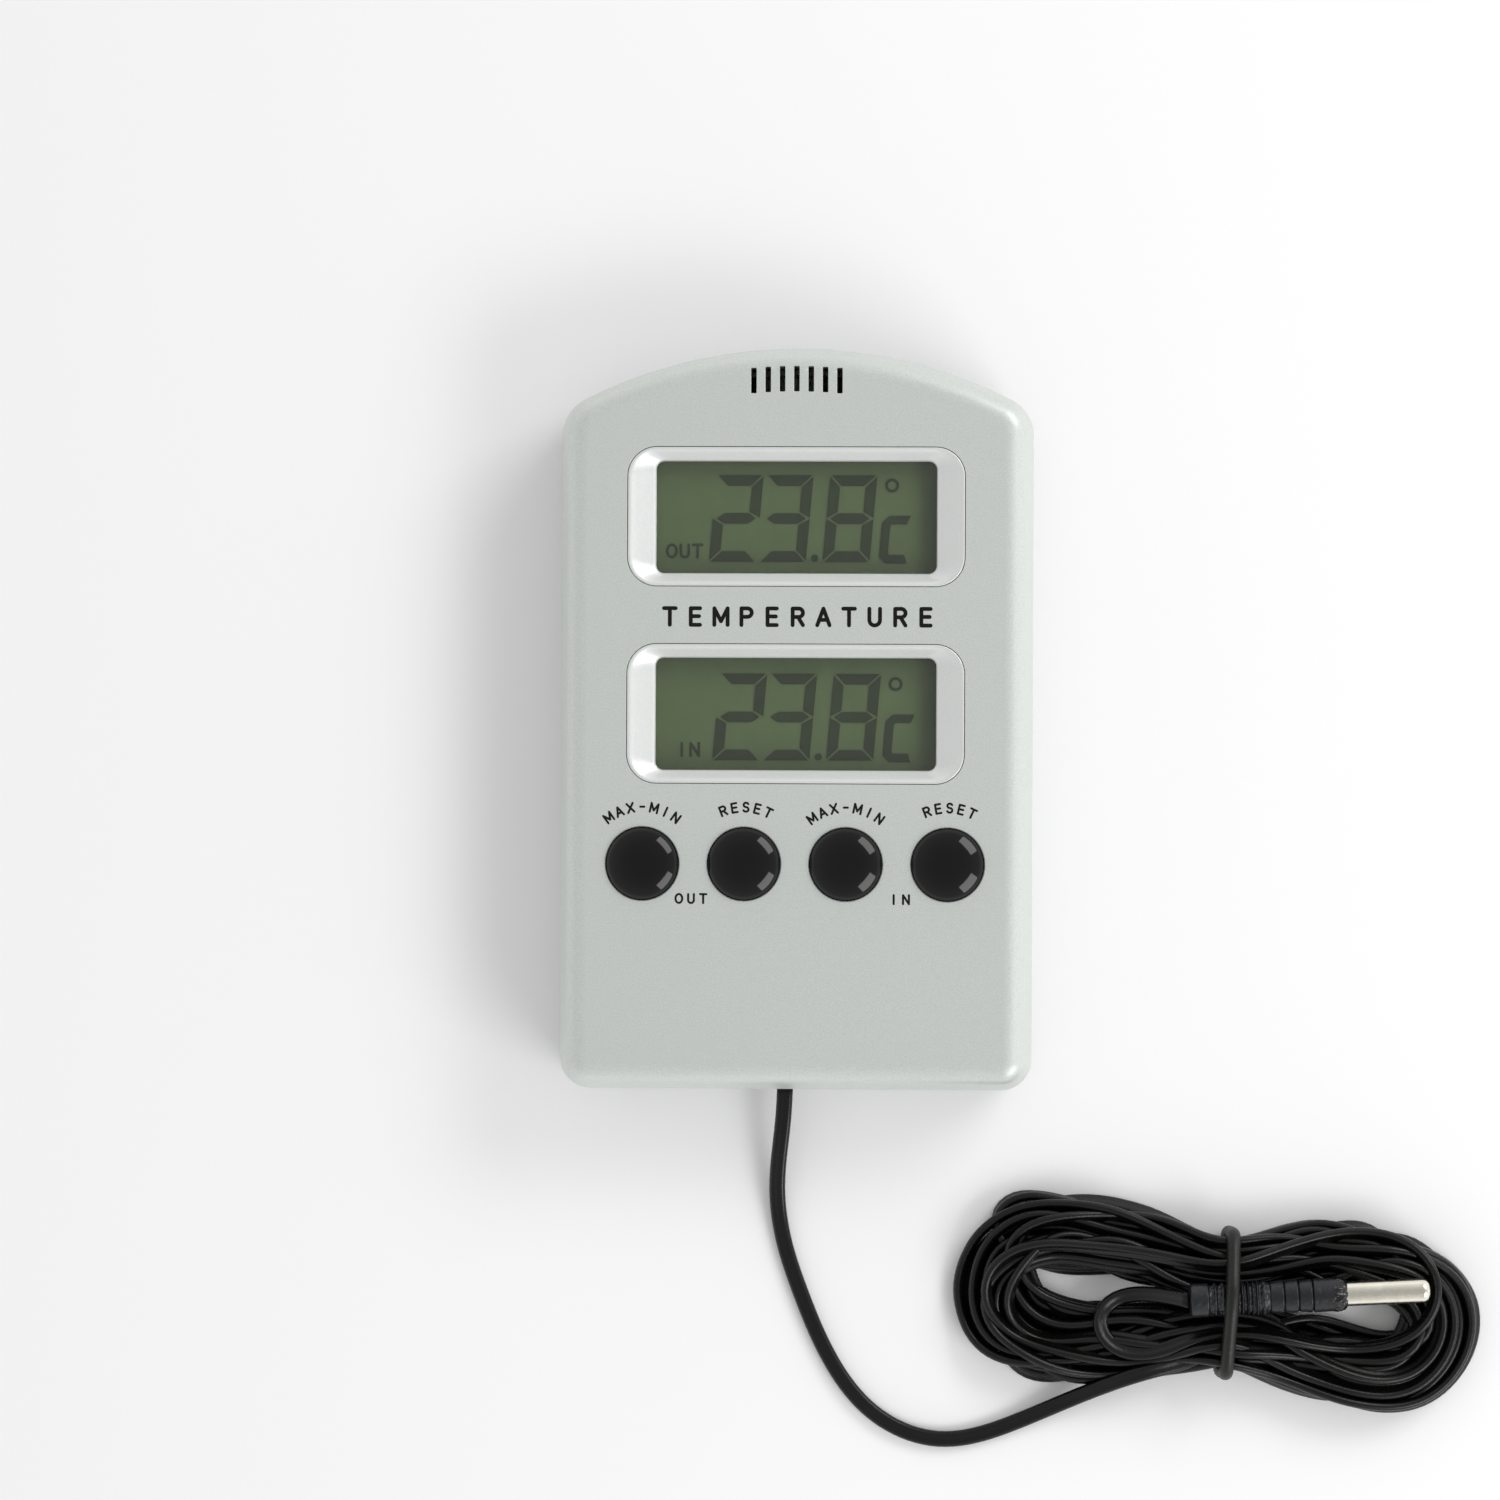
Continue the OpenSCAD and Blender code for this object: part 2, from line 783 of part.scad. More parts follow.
module sensor_wires() {
    apart = wire_gap * [1, 1, 0];
    for (s = [-1, 1])
        color(s < 0 ? "firebrick" : [0.1, 0.1, 0.1])
            tube(
                smooth([for (p = WIRES) p + s * apart], 2),
                2 * wire_r, 2 * wire_r, [0.7, -0.7, 0], 8
            );
}

// Free lead, hank and sensor --------------------------------------------------

module cord_lead() {
    color([0.05, 0.05, 0.05])
        tube(smooth(LEAD, 2), lead_w, lead_t, [0, 0, 1], lead_sides);
}

module lobe(centre, r) {
    hull() {
        translate(centre)
            circle(r, $fn = 32);
        translate([tie_x, tie_y])
            square([4, 2 * waist_half], center = true);
    }
}

module along_sensor() {
    translate(sensor_start)
        rotate([0, 0, sensor_turn])
            rotate([0, 90, 0])
                children();
}

// Everything outside the tie's inner face, over the tie's width
module tie_channel() {
    translate([tie_x - tie_r - 0.1, tie_y, (tie_top + tie_r) / 2])
        rotate([90, 0, 90])
            difference() {
                plate(4 * tie_half, 4 * tie_half, 1, 2 * tie_r + 0.2);
                translate([0, 0, -1])
                    plate(
                        2 * (tie_half - tie_r), tie_top - 3 * tie_r, tie_bend - tie_r, 2 * tie_r + 2
                    );
            }
}

module cord_hank() {
    color([0.05, 0.05, 0.05])
        difference() {
            linear_extrude(hank_h)
                union() {
                    lobe(left_lobe, left_lobe_r);
                    lobe(right_lobe, right_lobe_r);
                }
            // Groove that the sensor lies in, and the channel round the waist for the tie
            along_sensor()
                translate([0, 0, -1])
                    cylinder(r = sleeve_r, h = sleeve_len + collar_len + tip_len + 2);
            tie_channel();
        }
}

// Corner of the tie, bent through a quarter turn in the Y-Z plane
module tie_corner(y, z, turn) {
    translate([tie_x, y, z])
        rotate([turn, 0, 0])
            rotate([90, 0, 90])
                rotate_extrude(angle = 90, $fn = 48)
                    translate([tie_bend, 0])
                        circle(tie_r, $fn = 24);
}

module hank_tie() {
    y0 = tie_y - tie_half;
    y1 = tie_y + tie_half;
    z0 = tie_r;
    z1 = tie_top;
    color([0.05, 0.05, 0.05])
        union() {
            tie_corner(y1 - tie_bend, z1 - tie_bend, 0);
            tie_corner(y0 + tie_bend, z1 - tie_bend, 90);
            tie_corner(y0 + tie_bend, z0 + tie_bend, 180);
            tie_corner(y1 - tie_bend, z0 + tie_bend, 270);
            for (z = [z0, z1])
                translate([tie_x, y1 - tie_bend, z])
                    rotate([90, 0, 0])
                        cylinder(r = tie_r, h = y1 - y0 - 2 * tie_bend, $fn = 24);
            for (y = [y0, y1])
                translate([tie_x, y, z0 + tie_bend])
                    cylinder(r = tie_r, h = z1 - z0 - 2 * tie_bend, $fn = 24);
        }
}

// Moulded sleeve: a plain collar at the lead's end, grooves, and a plain end
module sensor_sleeve() {
    color([0.08, 0.08, 0.09])
        along_sensor()
            difference() {
                cylinder(r = sleeve_r, h = sleeve_len);
                for (i = [0:3])
                    translate([0, 0, 10.4 + i * 2.2])
                        difference() {
                            cylinder(r = sleeve_r + 1, h = 0.5);
                            translate([0, 0, -1])
                                cylinder(r = sleeve_r - 0.35, h = 3);
                        }
                translate([0, 0, sleeve_len - 2])
                    cylinder(r = tip_r, h = 3);
            }
}

module sensor_collar() {
    color([0.06, 0.06, 0.07])
        along_sensor()
            translate([0, 0, sleeve_len])
                difference() {
                    cylinder(r1 = sleeve_r - 0.2, r2 = tip_r + 0.15, h = collar_len);
                    translate([0, 0, -1])
                        cylinder(r = tip_r, h = 3);
                }
}

module sensor_tip() {
    end = sleeve_len + collar_len + tip_len;
    color([0.86, 0.84, 0.78])
        along_sensor()
            union() {
                translate([0, 0, sleeve_len - 2])
                    cylinder(r = tip_r, h = end - tip_r - sleeve_len + 2);
                translate([0, 0, end - tip_r])
                    sphere(r = tip_r);
            }
}

front_case();
back_case();
bezel(upper_y);  // upper_bezel
bezel(lower_y);  // lower_bezel
window(upper_y);  // upper_window
window(lower_y);  // lower_window
lcd(upper_y);  // upper_lcd
lcd(lower_y);  // lower_lcd
lcd_holder(upper_y);  // upper_lcd_holder
lcd_holder(lower_y);  // lower_lcd_holder
lcd_strip(upper_y);  // upper_lcd_strip
lcd_strip(lower_y);  // lower_lcd_strip
circuit_board();
chip_blobs();
board_parts();
board_screws();
button(0);  // button_out_maxmin
button(1);  // button_out_reset
button(2);  // button_in_maxmin
button(3);  // button_in_reset
plunger(0);  // plunger_out_maxmin
plunger(1);  // plunger_out_reset
plunger(2);  // plunger_in_maxmin
plunger(3);  // plunger_in_reset
switch_body(0);  // switch_out_maxmin
switch_body(1);  // switch_out_reset
switch_body(2);  // switch_in_maxmin
switch_body(3);  // switch_in_reset
indoor_sensor();
battery();
negative_spring();
positive_contact();
battery_wires();
battery_door();
table_stand();
stand_pin();
case_screws();
lead_inside();
cord_clamp();
clamp_screws();
sensor_wires();
cord_lead();
cord_hank();
hank_tie();
sensor_sleeve();
sensor_collar();
sensor_tip();
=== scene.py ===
import json
import math

import bpy
import numpy as np
from mathutils import Euler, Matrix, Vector


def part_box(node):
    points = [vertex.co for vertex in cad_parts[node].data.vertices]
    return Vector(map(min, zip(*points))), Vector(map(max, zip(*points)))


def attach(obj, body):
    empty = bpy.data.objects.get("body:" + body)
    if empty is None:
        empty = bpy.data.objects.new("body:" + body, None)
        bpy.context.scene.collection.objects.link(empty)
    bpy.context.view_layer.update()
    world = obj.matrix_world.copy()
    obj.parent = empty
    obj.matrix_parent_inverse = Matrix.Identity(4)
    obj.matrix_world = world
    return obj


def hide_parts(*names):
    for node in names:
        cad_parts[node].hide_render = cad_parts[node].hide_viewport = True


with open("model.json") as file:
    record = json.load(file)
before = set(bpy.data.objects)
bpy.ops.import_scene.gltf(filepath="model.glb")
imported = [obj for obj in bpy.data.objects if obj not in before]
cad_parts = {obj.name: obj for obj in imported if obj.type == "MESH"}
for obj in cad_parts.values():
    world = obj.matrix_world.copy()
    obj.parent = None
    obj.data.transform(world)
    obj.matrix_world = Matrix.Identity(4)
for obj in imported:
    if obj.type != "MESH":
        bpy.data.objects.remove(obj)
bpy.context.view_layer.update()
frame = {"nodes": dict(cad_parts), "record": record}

# Sizes below are in millimetres, in the part's own frame: +Z out of the display face, +Y to the arched top.
MM = 0.001


def corners(node):
    """A CAD node's lowest and highest corner at rest."""
    low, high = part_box(node)
    return [round(c / MM, 3) for c in low], [round(c / MM, 3) for c in high]


# ---------------------------------------------------------------- camera

def make_camera():
    """Looks almost straight down on the thermometer from about 0.67 m."""
    data = bpy.data.cameras.new("camera")
    data.sensor_width = 36
    data.lens = 106.22
    data.clip_start = 0.05
    data.clip_end = 20
    camera = bpy.data.objects.new("camera", data)
    camera.location = Vector((14.91, -12.07, 665.42)) * MM
    camera.rotation_euler = Euler((math.radians(0.65), math.radians(1.901), math.radians(0.265)))
    bpy.context.collection.objects.link(camera)
    bpy.context.scene.camera = camera


# ---------------------------------------------------------------- mesh helpers

def add_mesh(name, points, faces, smooth=True):
    """A mesh object from points in millimetres."""
    mesh = bpy.data.meshes.new(name)
    mesh.from_pydata([tuple(c * MM for c in p) for p in points], [], faces)
    mesh.validate()
    mesh.update()
    if smooth:
        mesh.shade_smooth()
    piece = bpy.data.objects.new(name, mesh)
    bpy.context.collection.objects.link(piece)
    return piece


def unit(v):
    return v / np.maximum(np.linalg.norm(v, axis=-1, keepdims=True), 1e-9)


def spline(points, step):
    """Points about step apart along a Catmull-Rom curve through points."""
    p = np.array(points, float)
    p = np.vstack([2 * p[0] - p[1], p, 2 * p[-1] - p[-2]])
    fine = []
    for a, b, c, d in zip(p[:-3], p[1:-2], p[2:-1], p[3:]):
        t = np.linspace(0, 1, 24, endpoint=False)[:, None]
        fine.append(0.5 * (2 * b + (c - a) * t + (2 * a - 5 * b + 4 * c - d) * t**2
                           + (3 * b - a - 3 * c + d) * t**3))
    fine = np.vstack(fine + [p[-2:-1]])
    return resample(fine, step)


def merged(shapes):
    """One mesh, (points, faces), from several."""
    points, faces = [], []
    for more_points, more_faces in shapes:
        faces += [tuple(i + len(points) for i in face) for face in more_faces]
        points += more_points
    return points, faces


def resample(line, step):
    """The line again, with points an equal distance, about step, apart."""
    along = np.concatenate([[0], np.cumsum(np.linalg.norm(np.diff(line, axis=0), axis=1))])
    count = max(2, int(round(along[-1] / step)) + 1)
    at = np.linspace(0, along[-1], count)
    return np.stack([np.interp(at, along, line[:, i]) for i in range(3)], axis=1)


def length_of(line):
    return float(np.linalg.norm(np.diff(line, axis=0), axis=1).sum())


def sweep(line, profile, thin_axis):
    """Rings of profile (across, thin) along the line, and the faces between them, with both ends closed."""
    tangent = unit(np.gradient(line, axis=0))
    thin = unit(thin_axis - (thin_axis * tangent).sum(1, keepdims=True) * tangent)
    wide = np.cross(tangent, thin)
    rings = line[:, None] + wide[:, None] * profile[None, :, :1] + thin[:, None] * profile[None, :, 1:]
    sides = len(profile)
    points = rings.reshape(-1, 3)
    faces = [
        (i * sides + j, i * sides + (j + 1) % sides, (i + 1) * sides + (j + 1) % sides, (i + 1) * sides + j)
        for i in range(len(line) - 1) for j in range(sides)
    ]
    faces.append(tuple(reversed(range(sides))))
    faces.append(tuple(len(points) - sides + j for j in range(sides)))
    return points, faces


# ---------------------------------------------------------------- the cord

CORD_LENGTH = 3000
CORD_W = 2.4
CORD_T = 1.3
# While it settles, the flat cord counts as round, STRAND across, and is kept from sharp bends by LEAST_BEND
STRAND = 1.72
LEAST_BEND = 7
POINT_STEP = 1.7
SETTLING_ROUNDS = 700
# Heights of the cord's middle above the floor: lying flat in the open, and turned on edge in the hank
FLAT_Z = 0.68
EDGE_Z = 1.0

# The tie round the hank's waist
TIE_X = 64.3
TIE_Y = -86.55
TIE_R = 1.05
TIE_HALF = 10.3
TIE_TOP = 10.8
TIE_LEAN = 0.055

# The sensor, which lies on the hank under the tie, from its sleeve's rear end to its tip
SENSOR_START = np.array([58.5, -85.9, 8.2])
SENSOR_TURN = math.radians(3)
SENSOR_AXIS = np.array([math.cos(SENSOR_TURN), math.sin(SENSOR_TURN), 0])
SENSOR_LEN = 35.4
SLEEVE_R = 2.6
SLEEVE_LEN = 22.4
TIP_R = 1.8

# The hank's two ends, and how much smaller the innermost turn is than the outermost
LEFT_END = (38.5, -85)
RIGHT_END = (86.8, -89.4)
END_RX, END_RX_LOSS = 13.4, 9.4
END_RY, END_RY_LOSS = 11.6, 5.2
END_DRIFT = 4.6
END_LIFT = 0.8
# The outermost strands' distance from the tie's middle, and how far in the others come
WAIST, WAIST_TOP_LOSS, WAIST_BOTTOM_LOSS = 8.4, 5.2, 6
LOWEST_TURN_Z, HANK_RISE = 1.2, 7.5
TURNS_BEFORE_FOLD, TURNS_AFTER_FOLD = 8, 10

# From the case to the hank: the route of part.scad, then on over the hank's lower bundle and into the tie
LEAD = [
    (-1.6, -55, 4.5), (-1.7, -59, 4.4), (-2.2, -63, 3.8), (-2.7, -67, 2.7), (-2.9, -71, 1.5),
    (-2.5, -75, 0.8), (-1.4, -80, 0.7), (0.8, -86, 0.7), (3.2, -92, 0.7), (6.4, -98, 0.7),
    (10.4, -103, 0.7), (15.5, -106.4, 0.7), (21.5, -108, 0.7), (28, -107, 0.7), (35.5, -104, 1),
    (42, -101, 2.2), (47.4, -98.6, 4), (55.2, -95.6, 6.4), (62.5, -92.9, 7.2), (68, -91.8, 7),
]
# The fold at the hank's upper left, where the winding turns back
FOLD = [
    (55, -76.1, 5.8), (45, -73.6, 5.6), (38, -72.3, 5.4), (32.6, -71.6, 5.2), (29.6, -72.7, 4.6),
    (29.2, -75.6, 4), (31.4, -79, 3.4), (36, -80.9, 3), (44, -80, 3), (54, -79.6, 3.2),
]
# The last turn, which lies on top, and the small loop that ends in the sensor's sleeve
TAIL = [
    (52, -95, 8.5), (43, -94.8, 8.5), (35.5, -93.4, 8.5), (30, -90.6, 8.5), (27.8, -86.3, 8.5),
    (29, -81.8, 8.5), (33.6, -78.6, 8.5), (42, -77.8, 8.8), (52, -79.3, 9), (60, -80.8, 9.4),
    (66, -80.8, 9.6), (72, -78.8, 9.4), (80, -76.5, 9), (87.6, -76.5, 9), (93.6, -79.8, 9),
    (95.6, -85.4, 9), (93, -90.6, 9), (87, -93.1, 9), (80, -93.4, 9), (73.5, -91.8, 9),
    (68, -90.7, 9), (62.6, -90.8, 9), (57.2, -92.6, 9), (52.4, -94.4, 9), (47.8, -94.2, 9),
    (44.8, -91.4, 9), (45, -87.6, 9), (48.2, -85.3, 8.8), (53, -85.2, 8.4), (58.5, -85.9, 8.2),
]


def end_of_turn(angles, centre, radii, z, swing):
    """Points round one end of a turn, at angles in degrees, a little over and under z in turn."""
    found = []
    for a in angles:
        t = math.radians(a)
        lift = END_LIFT * math.sin(math.radians(a * 2 + swing))
        found.append((centre[0] + radii[0] * math.cos(t), centre[1] + radii[1] * math.sin(t), z + lift))
    return found


def turn(k, count, way):
    """One turn of the hank from the tie's lower side, anticlockwise for way 1 and clockwise for way -1."""
    # How far in from the outermost turn this one lies, at each end and at each side of the waist
    in_left, in_right = (0.13 + 0.618 * k) % 1, (0.71 + 0.382 * k) % 1
    in_top, in_bottom = (0.35 + 0.618 * k) % 1, (0.8 + 0.618 * k) % 1
    z = LOWEST_TURN_Z + HANK_RISE * k / count
    left = (LEFT_END[0], LEFT_END[1] + END_DRIFT * in_left * math.sin(2.4 * k))
    right = (RIGHT_END[0], RIGHT_END[1] + END_DRIFT * in_right * math.sin(2.4 * k + 2))
    left_radii = (END_RX - END_RX_LOSS * in_left, END_RY - END_RY_LOSS * in_left)
    right_radii = (END_RX - END_RX_LOSS * in_right, END_RY - END_RY_LOSS * in_right)
    points = [(TIE_X, TIE_Y - WAIST + WAIST_BOTTOM_LOSS * in_bottom, z)]
    points += end_of_turn((-80, -50, -20, 10, 40, 70, 95), right, right_radii, z, 90 * k)
    points.append((TIE_X, TIE_Y + WAIST - WAIST_TOP_LOSS * in_top, z))
    points += end_of_turn((85, 110, 140, 170, 200, 230, 260), left, left_radii, z, 70 * k)
    return points if way > 0 else [points[0]] + points[:0:-1]


def cord_route():
    """The cord's first, rough route: lead, turns one way, fold, turns the other way, last turn and loop."""
    total = TURNS_BEFORE_FOLD + TURNS_AFTER_FOLD
    route = list(LEAD)
    for k in range(TURNS_BEFORE_FOLD):
        points = turn(k, total, 1)
        # The lead comes in past the tie, so the first turn starts after it
        route += points[2:] if k == 0 else points
    # The fold takes the place of the last turn's left end and of the next turn's first half
    route = route[:-7] + FOLD
    for k in range(TURNS_BEFORE_FOLD, total):
        points = turn(k, total, -1)
        route += points[8:] if k == TURNS_BEFORE_FOLD else points
    return route + [(TIE_X, TIE_Y - 6.5, 8)] + TAIL


def push_apart(p, pairs, gap, give):
    """Moves the points of each pair that are nearer than gap apart."""
    i, j = pairs
    d = p[i] - p[j]
    far = np.linalg.norm(d, axis=1)
    near = (far < gap) & (far > 1e-6)
    i, j, d, far = i[near], j[near], d[near], far[near]
    share = give[i] + give[j] + 1e-9
    move = d * (0.5 * (gap - far) / far / share)[:, None]
    for axis in range(3):
        p[:, axis] += (np.bincount(i, move[:, axis] * give[i], len(p))
                       - np.bincount(j, move[:, axis] * give[j], len(p)))


def close_pairs(p, reach, apart):
    """Pairs of points within reach of each other that are more than apart steps away along the cord."""
    q = p.astype(np.float32)
    square = (q**2).sum(1)
    dist = square[:, None] + square[None] - 2 * q @ q.T
    i, j = np.nonzero(dist < reach * reach)
    keep = j - i > apart
    return i[keep], j[keep]


def relax(p, wanted, hold, rounds, gap):
    """Settles the cord at its length, on the floor and on itself, inside its tie and off the sensor.

    hold says how firmly each point keeps to its wanted place: 1 is fixed."""
    rest = CORD_LENGTH / (len(p) - 1)
    give = np.where(hold >= 1, 0.0, 1.0)
    give[0] = give[-1] = 0
    floor = np.where(hold >= 1, FLAT_Z, EDGE_Z)
    apart = int(math.ceil(2.6 * gap / rest))
    # Points four steps apart keep a chord between them; the lead and the tail keep their own bends
    loose = np.nonzero(hold[4:] < 0.8)[0]
    bent = (loose, loose + 4)
    chord = 2 * LEAST_BEND * math.sin(2 * rest / LEAST_BEND)
    flat_pull = np.array([1, 1, 0])
    for r in range(rounds):
        if r % 8 == 0:
            pairs = close_pairs(p, gap * 2, apart)
        # Towards its wanted place, less and less, and down
        loosen = 1 - 0.7 * r / rounds
        p += (wanted - p) * flat_pull * ((0.015 + 0.25 * hold) * give * loosen)[:, None]
        p[:, 2] -= 0.03 * give
        # Smoother, and out again, so that loops don't shrink
        for amount in (0.5, -0.51, 0.5, -0.51):
            middle = 0.5 * (p[:-2] + p[2:])
            p[1:-1] += amount * (middle - p[1:-1]) * give[1:-1, None]
        # The right length between neighbouring points
        for start in (0, 1):
            a, b = np.arange(start, len(p) - 1, 2), np.arange(start + 1, len(p), 2)
            d = p[b] - p[a]
            far = np.linalg.norm(d, axis=1, keepdims=True)
            share = (give[a] + give[b])[:, None] + 1e-9
            move = d * (far - rest) / far / share
            p[a] += move * give[a][:, None]
            p[b] -= move * give[b][:, None]
        for _ in range(3):
            push_apart(p, bent, chord, give)
            push_apart(p, pairs, gap, give)
        keep_in_place(p, gap / 2)
        p[:, 2] = np.maximum(p[:, 2], floor)
    return p


def keep_in_place(p, r):
    """Holds the points inside the tie and outside the sensor."""
    in_tie = np.abs(p[:, 0] - TIE_X) < 1.8
    inner = TIE_HALF - TIE_R - r
    p[in_tie, 1] = np.clip(p[in_tie, 1], TIE_Y - inner, TIE_Y + inner)
    p[in_tie, 2] = np.clip(p[in_tie, 2], 2 * TIE_R + r, TIE_TOP - TIE_R - r)
    along = (p - SENSOR_START) @ SENSOR_AXIS
    foot = SENSOR_START + np.clip(along, 0, SENSOR_LEN)[:, None] * SENSOR_AXIS
    aside = np.linalg.norm((p - foot)[:, :2], axis=1)
    reach = r + np.where(along < SLEEVE_LEN + 1, SLEEVE_R, TIP_R)
    under = (aside < reach) & (along > -0.5) & (np.arange(len(p)) < len(p) - 10)
    drop = np.sqrt(reach[under]**2 - aside[under]**2)
    p[under, 2] = np.minimum(p[under, 2], SENSOR_START[2] - drop)


def fair(p, times):
    """Smooths the cord a little, times over."""
    for _ in range(times):
        p[1:-1] = 0.25 * p[:-2] + 0.5 * p[1:-1] + 0.25 * p[2:]
    return p


def cord_line():
    """The cord's centreline, settled."""
    wanted = spline(cord_route(), POINT_STEP)
    hold = np.zeros(len(wanted))
    lead_end = np.argmin(np.linalg.norm(wanted[:120] - np.array(LEAD[-3]), axis=1))
    hold[:lead_end] = 1
    hold[lead_end:lead_end + 12] = 0.6
    tail_start = len(wanted) - int(length_of(spline(TAIL, POINT_STEP)) / POINT_STEP)
    hold[tail_start:] = 0.8
    fold = np.argmin(np.linalg.norm(wanted - np.array(FOLD[3]), axis=1))
    hold[fold - 11:fold + 9] = 0.6
    p = relax(wanted.copy(), wanted, hold, SETTLING_ROUNDS, STRAND)
    return spline(fair(p, 6), 1.1)


def cord_profile():
    """Outline (across, thin) of a flat twin cord: two round cores with a shallow groove between."""
    r, half = CORD_T / 2, (CORD_W - CORD_T) / 2
    points = []
    for side in (1, -1):
        for a in (-122, -90, -60, -30, 0, 30, 60, 90, 122):
            t = math.radians(a if side > 0 else a + 180)
            points.append((side * half + r * math.cos(t), r * math.sin(t)))
    return np.array(points)


def cord_tilt(line):
    """How far the flat cord is turned on edge at each point: not at all by the case and near the floor."""
    s = np.arange(len(line)) * length_of(line) / len(line)
    lie = np.clip((s - 95) / 30, 0, 1)
    # Less on edge over the last 150, where the last turn and the small loop lie on top
    on_edge = 66 - 26 * np.clip((s - s[-1] + 150) / 30, 0, 1)
    tilt = np.radians(on_edge + 17 * np.sin(s / 29.0 + 1) + 13 * np.sin(s / 17.3)) * lie
    # The height of each point limits how far its wide side can stand up
    flat, edge = (CORD_T / 2)**2, (CORD_W / 2)**2
    room = np.clip((line[:, 2]**2 - flat) / (edge - flat), 0, 1)
    most = np.arcsin(np.sqrt(room))
    tilt = np.sign(tilt) * np.minimum(np.abs(tilt), np.where(most > 1.55, 10, most))
    return np.convolve(np.pad(tilt, 2, mode="edge"), np.full(5, 0.2), mode="valid")


def make_cord(line):
    """The whole lead as one flat tube along the line, in place of the CAD cord's pieces."""
    tilt = cord_tilt(line)
    low = np.hypot(CORD_W / 2 * np.sin(tilt), CORD_T / 2 * np.cos(tilt)) + 0.06
    line[:, 2] = np.maximum(line[:, 2], low)
    up = np.array([0, 0, 1.0])
    side = unit(np.cross(unit(np.gradient(line, axis=0)), up))
    thin = up * np.cos(tilt)[:, None] + side * np.sin(tilt)[:, None]
    cord = add_mesh("cord", *sweep(line, cord_profile(), thin))
    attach(cord, "root")
    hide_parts("cord_lead", "cord_hank")
    return cord


# ---------------------------------------------------------------- shapes

def rounded_rect(w, h, r, steps=12):
    """A rounded rectangle's outline, anticlockwise, with steps + 1 points in each corner."""
    points = []
    for cx, cy, start in ((1, -1, -90), (1, 1, 0), (-1, 1, 90), (-1, -1, 180)):
        for i in range(steps + 1):
            a = math.radians(start + 90 * i / steps)
            points.append((cx * (w / 2 - r) + r * math.cos(a), cy * (h / 2 - r) + r * math.sin(a)))
    return points


def ring(outline, z, x=0, y=0):
    return [(px + x, py + y, z) for px, py in outline]


def loft(rings, closed=False):
    """A mesh through rings of equal count, with end caps, or closed from its last ring to its first."""
    n, points = len(rings[0]), [p for r in rings for p in r]
    spans = len(rings) if closed else len(rings) - 1
    faces = []
    for i in range(spans):
        a, b = i * n, (i + 1) % len(rings) * n
        faces += [(a + j, a + (j + 1) % n, b + (j + 1) % n, b + j) for j in range(n)]
    if not closed:
        faces.append(tuple(reversed(range(n))))
        faces.append(tuple(range(len(points) - n, len(points))))
    return points, faces


def circle(r, count=96):
    angles = [2 * math.pi * i / count for i in range(count)]
    return [(r * math.cos(a), r * math.sin(a)) for a in angles]


def arc(cx, cy, r, a, b, steps):
    angles = [math.radians(a + (b - a) * i / steps) for i in range(steps + 1)]
    return [(cx + r * math.cos(t), cy + r * math.sin(t)) for t in angles]


def bezier(a, b, c, d, steps):
    """Points along a cubic curve from a to d."""
    found = []
    for i in range(steps + 1):
        t = i / steps
        u = 1 - t
        weights = (u**3, 3 * u * u * t, 3 * u * t * t, t**3)
        found.append(tuple(sum(w * c for w, c in zip(weights, column)) for column in zip(a, b, c, d)))
    return found


front_low, front_high = corners("front_case")
CASE_W = front_high[0] - front_low[0]
CASE_H = front_high[1] - front_low[1]
CASE_T, SPLIT_Z = front_high[2], front_low[2]
ARCH_R, SHOULDER_R, FOOT_R = 70, 6, 4.6
ARCH_Y = CASE_H / 2 - ARCH_R
SHOULDER_X = CASE_W / 2 - SHOULDER_R
SHOULDER_Y = ARCH_Y + math.sqrt((ARCH_R - SHOULDER_R)**2 - SHOULDER_X**2)
SHOULDER_A = math.degrees(math.atan2(SHOULDER_Y - ARCH_Y, SHOULDER_X))
WALL_INSET = 3.2
FACE_IN = CASE_T - 1.8
# The cutters for the holes in the face start here, inside the case
CUT_Z = 12
# The front edge's curve, as (inset, z): from the leaning wall it eases into the flat face
FACE_EDGE = ((1.29, 15.73), (1.53, 17.15), (2.7, 18), (4.5, 18))


def case_outline(inset):
    """The case's outline, moved in by inset: two feet, two shoulders and the arched top."""
    foot_x, foot_y = CASE_W / 2 - FOOT_R, FOOT_R - CASE_H / 2
    arch = arc(0, ARCH_Y, ARCH_R - inset, SHOULDER_A, 180 - SHOULDER_A, 72)
    return (arc(foot_x, foot_y, FOOT_R - inset, -90, 0, 16)
            + arc(SHOULDER_X, SHOULDER_Y, SHOULDER_R - inset, 0, SHOULDER_A, 12) + arch[1:-1]
            + arc(-SHOULDER_X, SHOULDER_Y, SHOULDER_R - inset, 180 - SHOULDER_A, 180, 12)
            + arc(-foot_x, foot_y, FOOT_R - inset, 180, 270, 16))


def join(piece, shape, how):
    """Adds the closed mesh shape to the piece or takes it away."""
    tool = add_mesh("tool", *shape, smooth=False)
    m = piece.modifiers.new("join", "BOOLEAN")
    m.operation = how
    m.object = tool
    m.solver = "EXACT"
    apply_modifiers(piece)
    bpy.data.objects.remove(tool)


def apply_modifiers(piece):
    """Makes what the piece's modifiers show its own mesh."""
    bpy.context.view_layer.update()
    shown = piece.evaluated_get(bpy.context.evaluated_depsgraph_get())
    mesh = bpy.data.meshes.new_from_object(shown)
    piece.modifiers.clear()
    piece.data = mesh


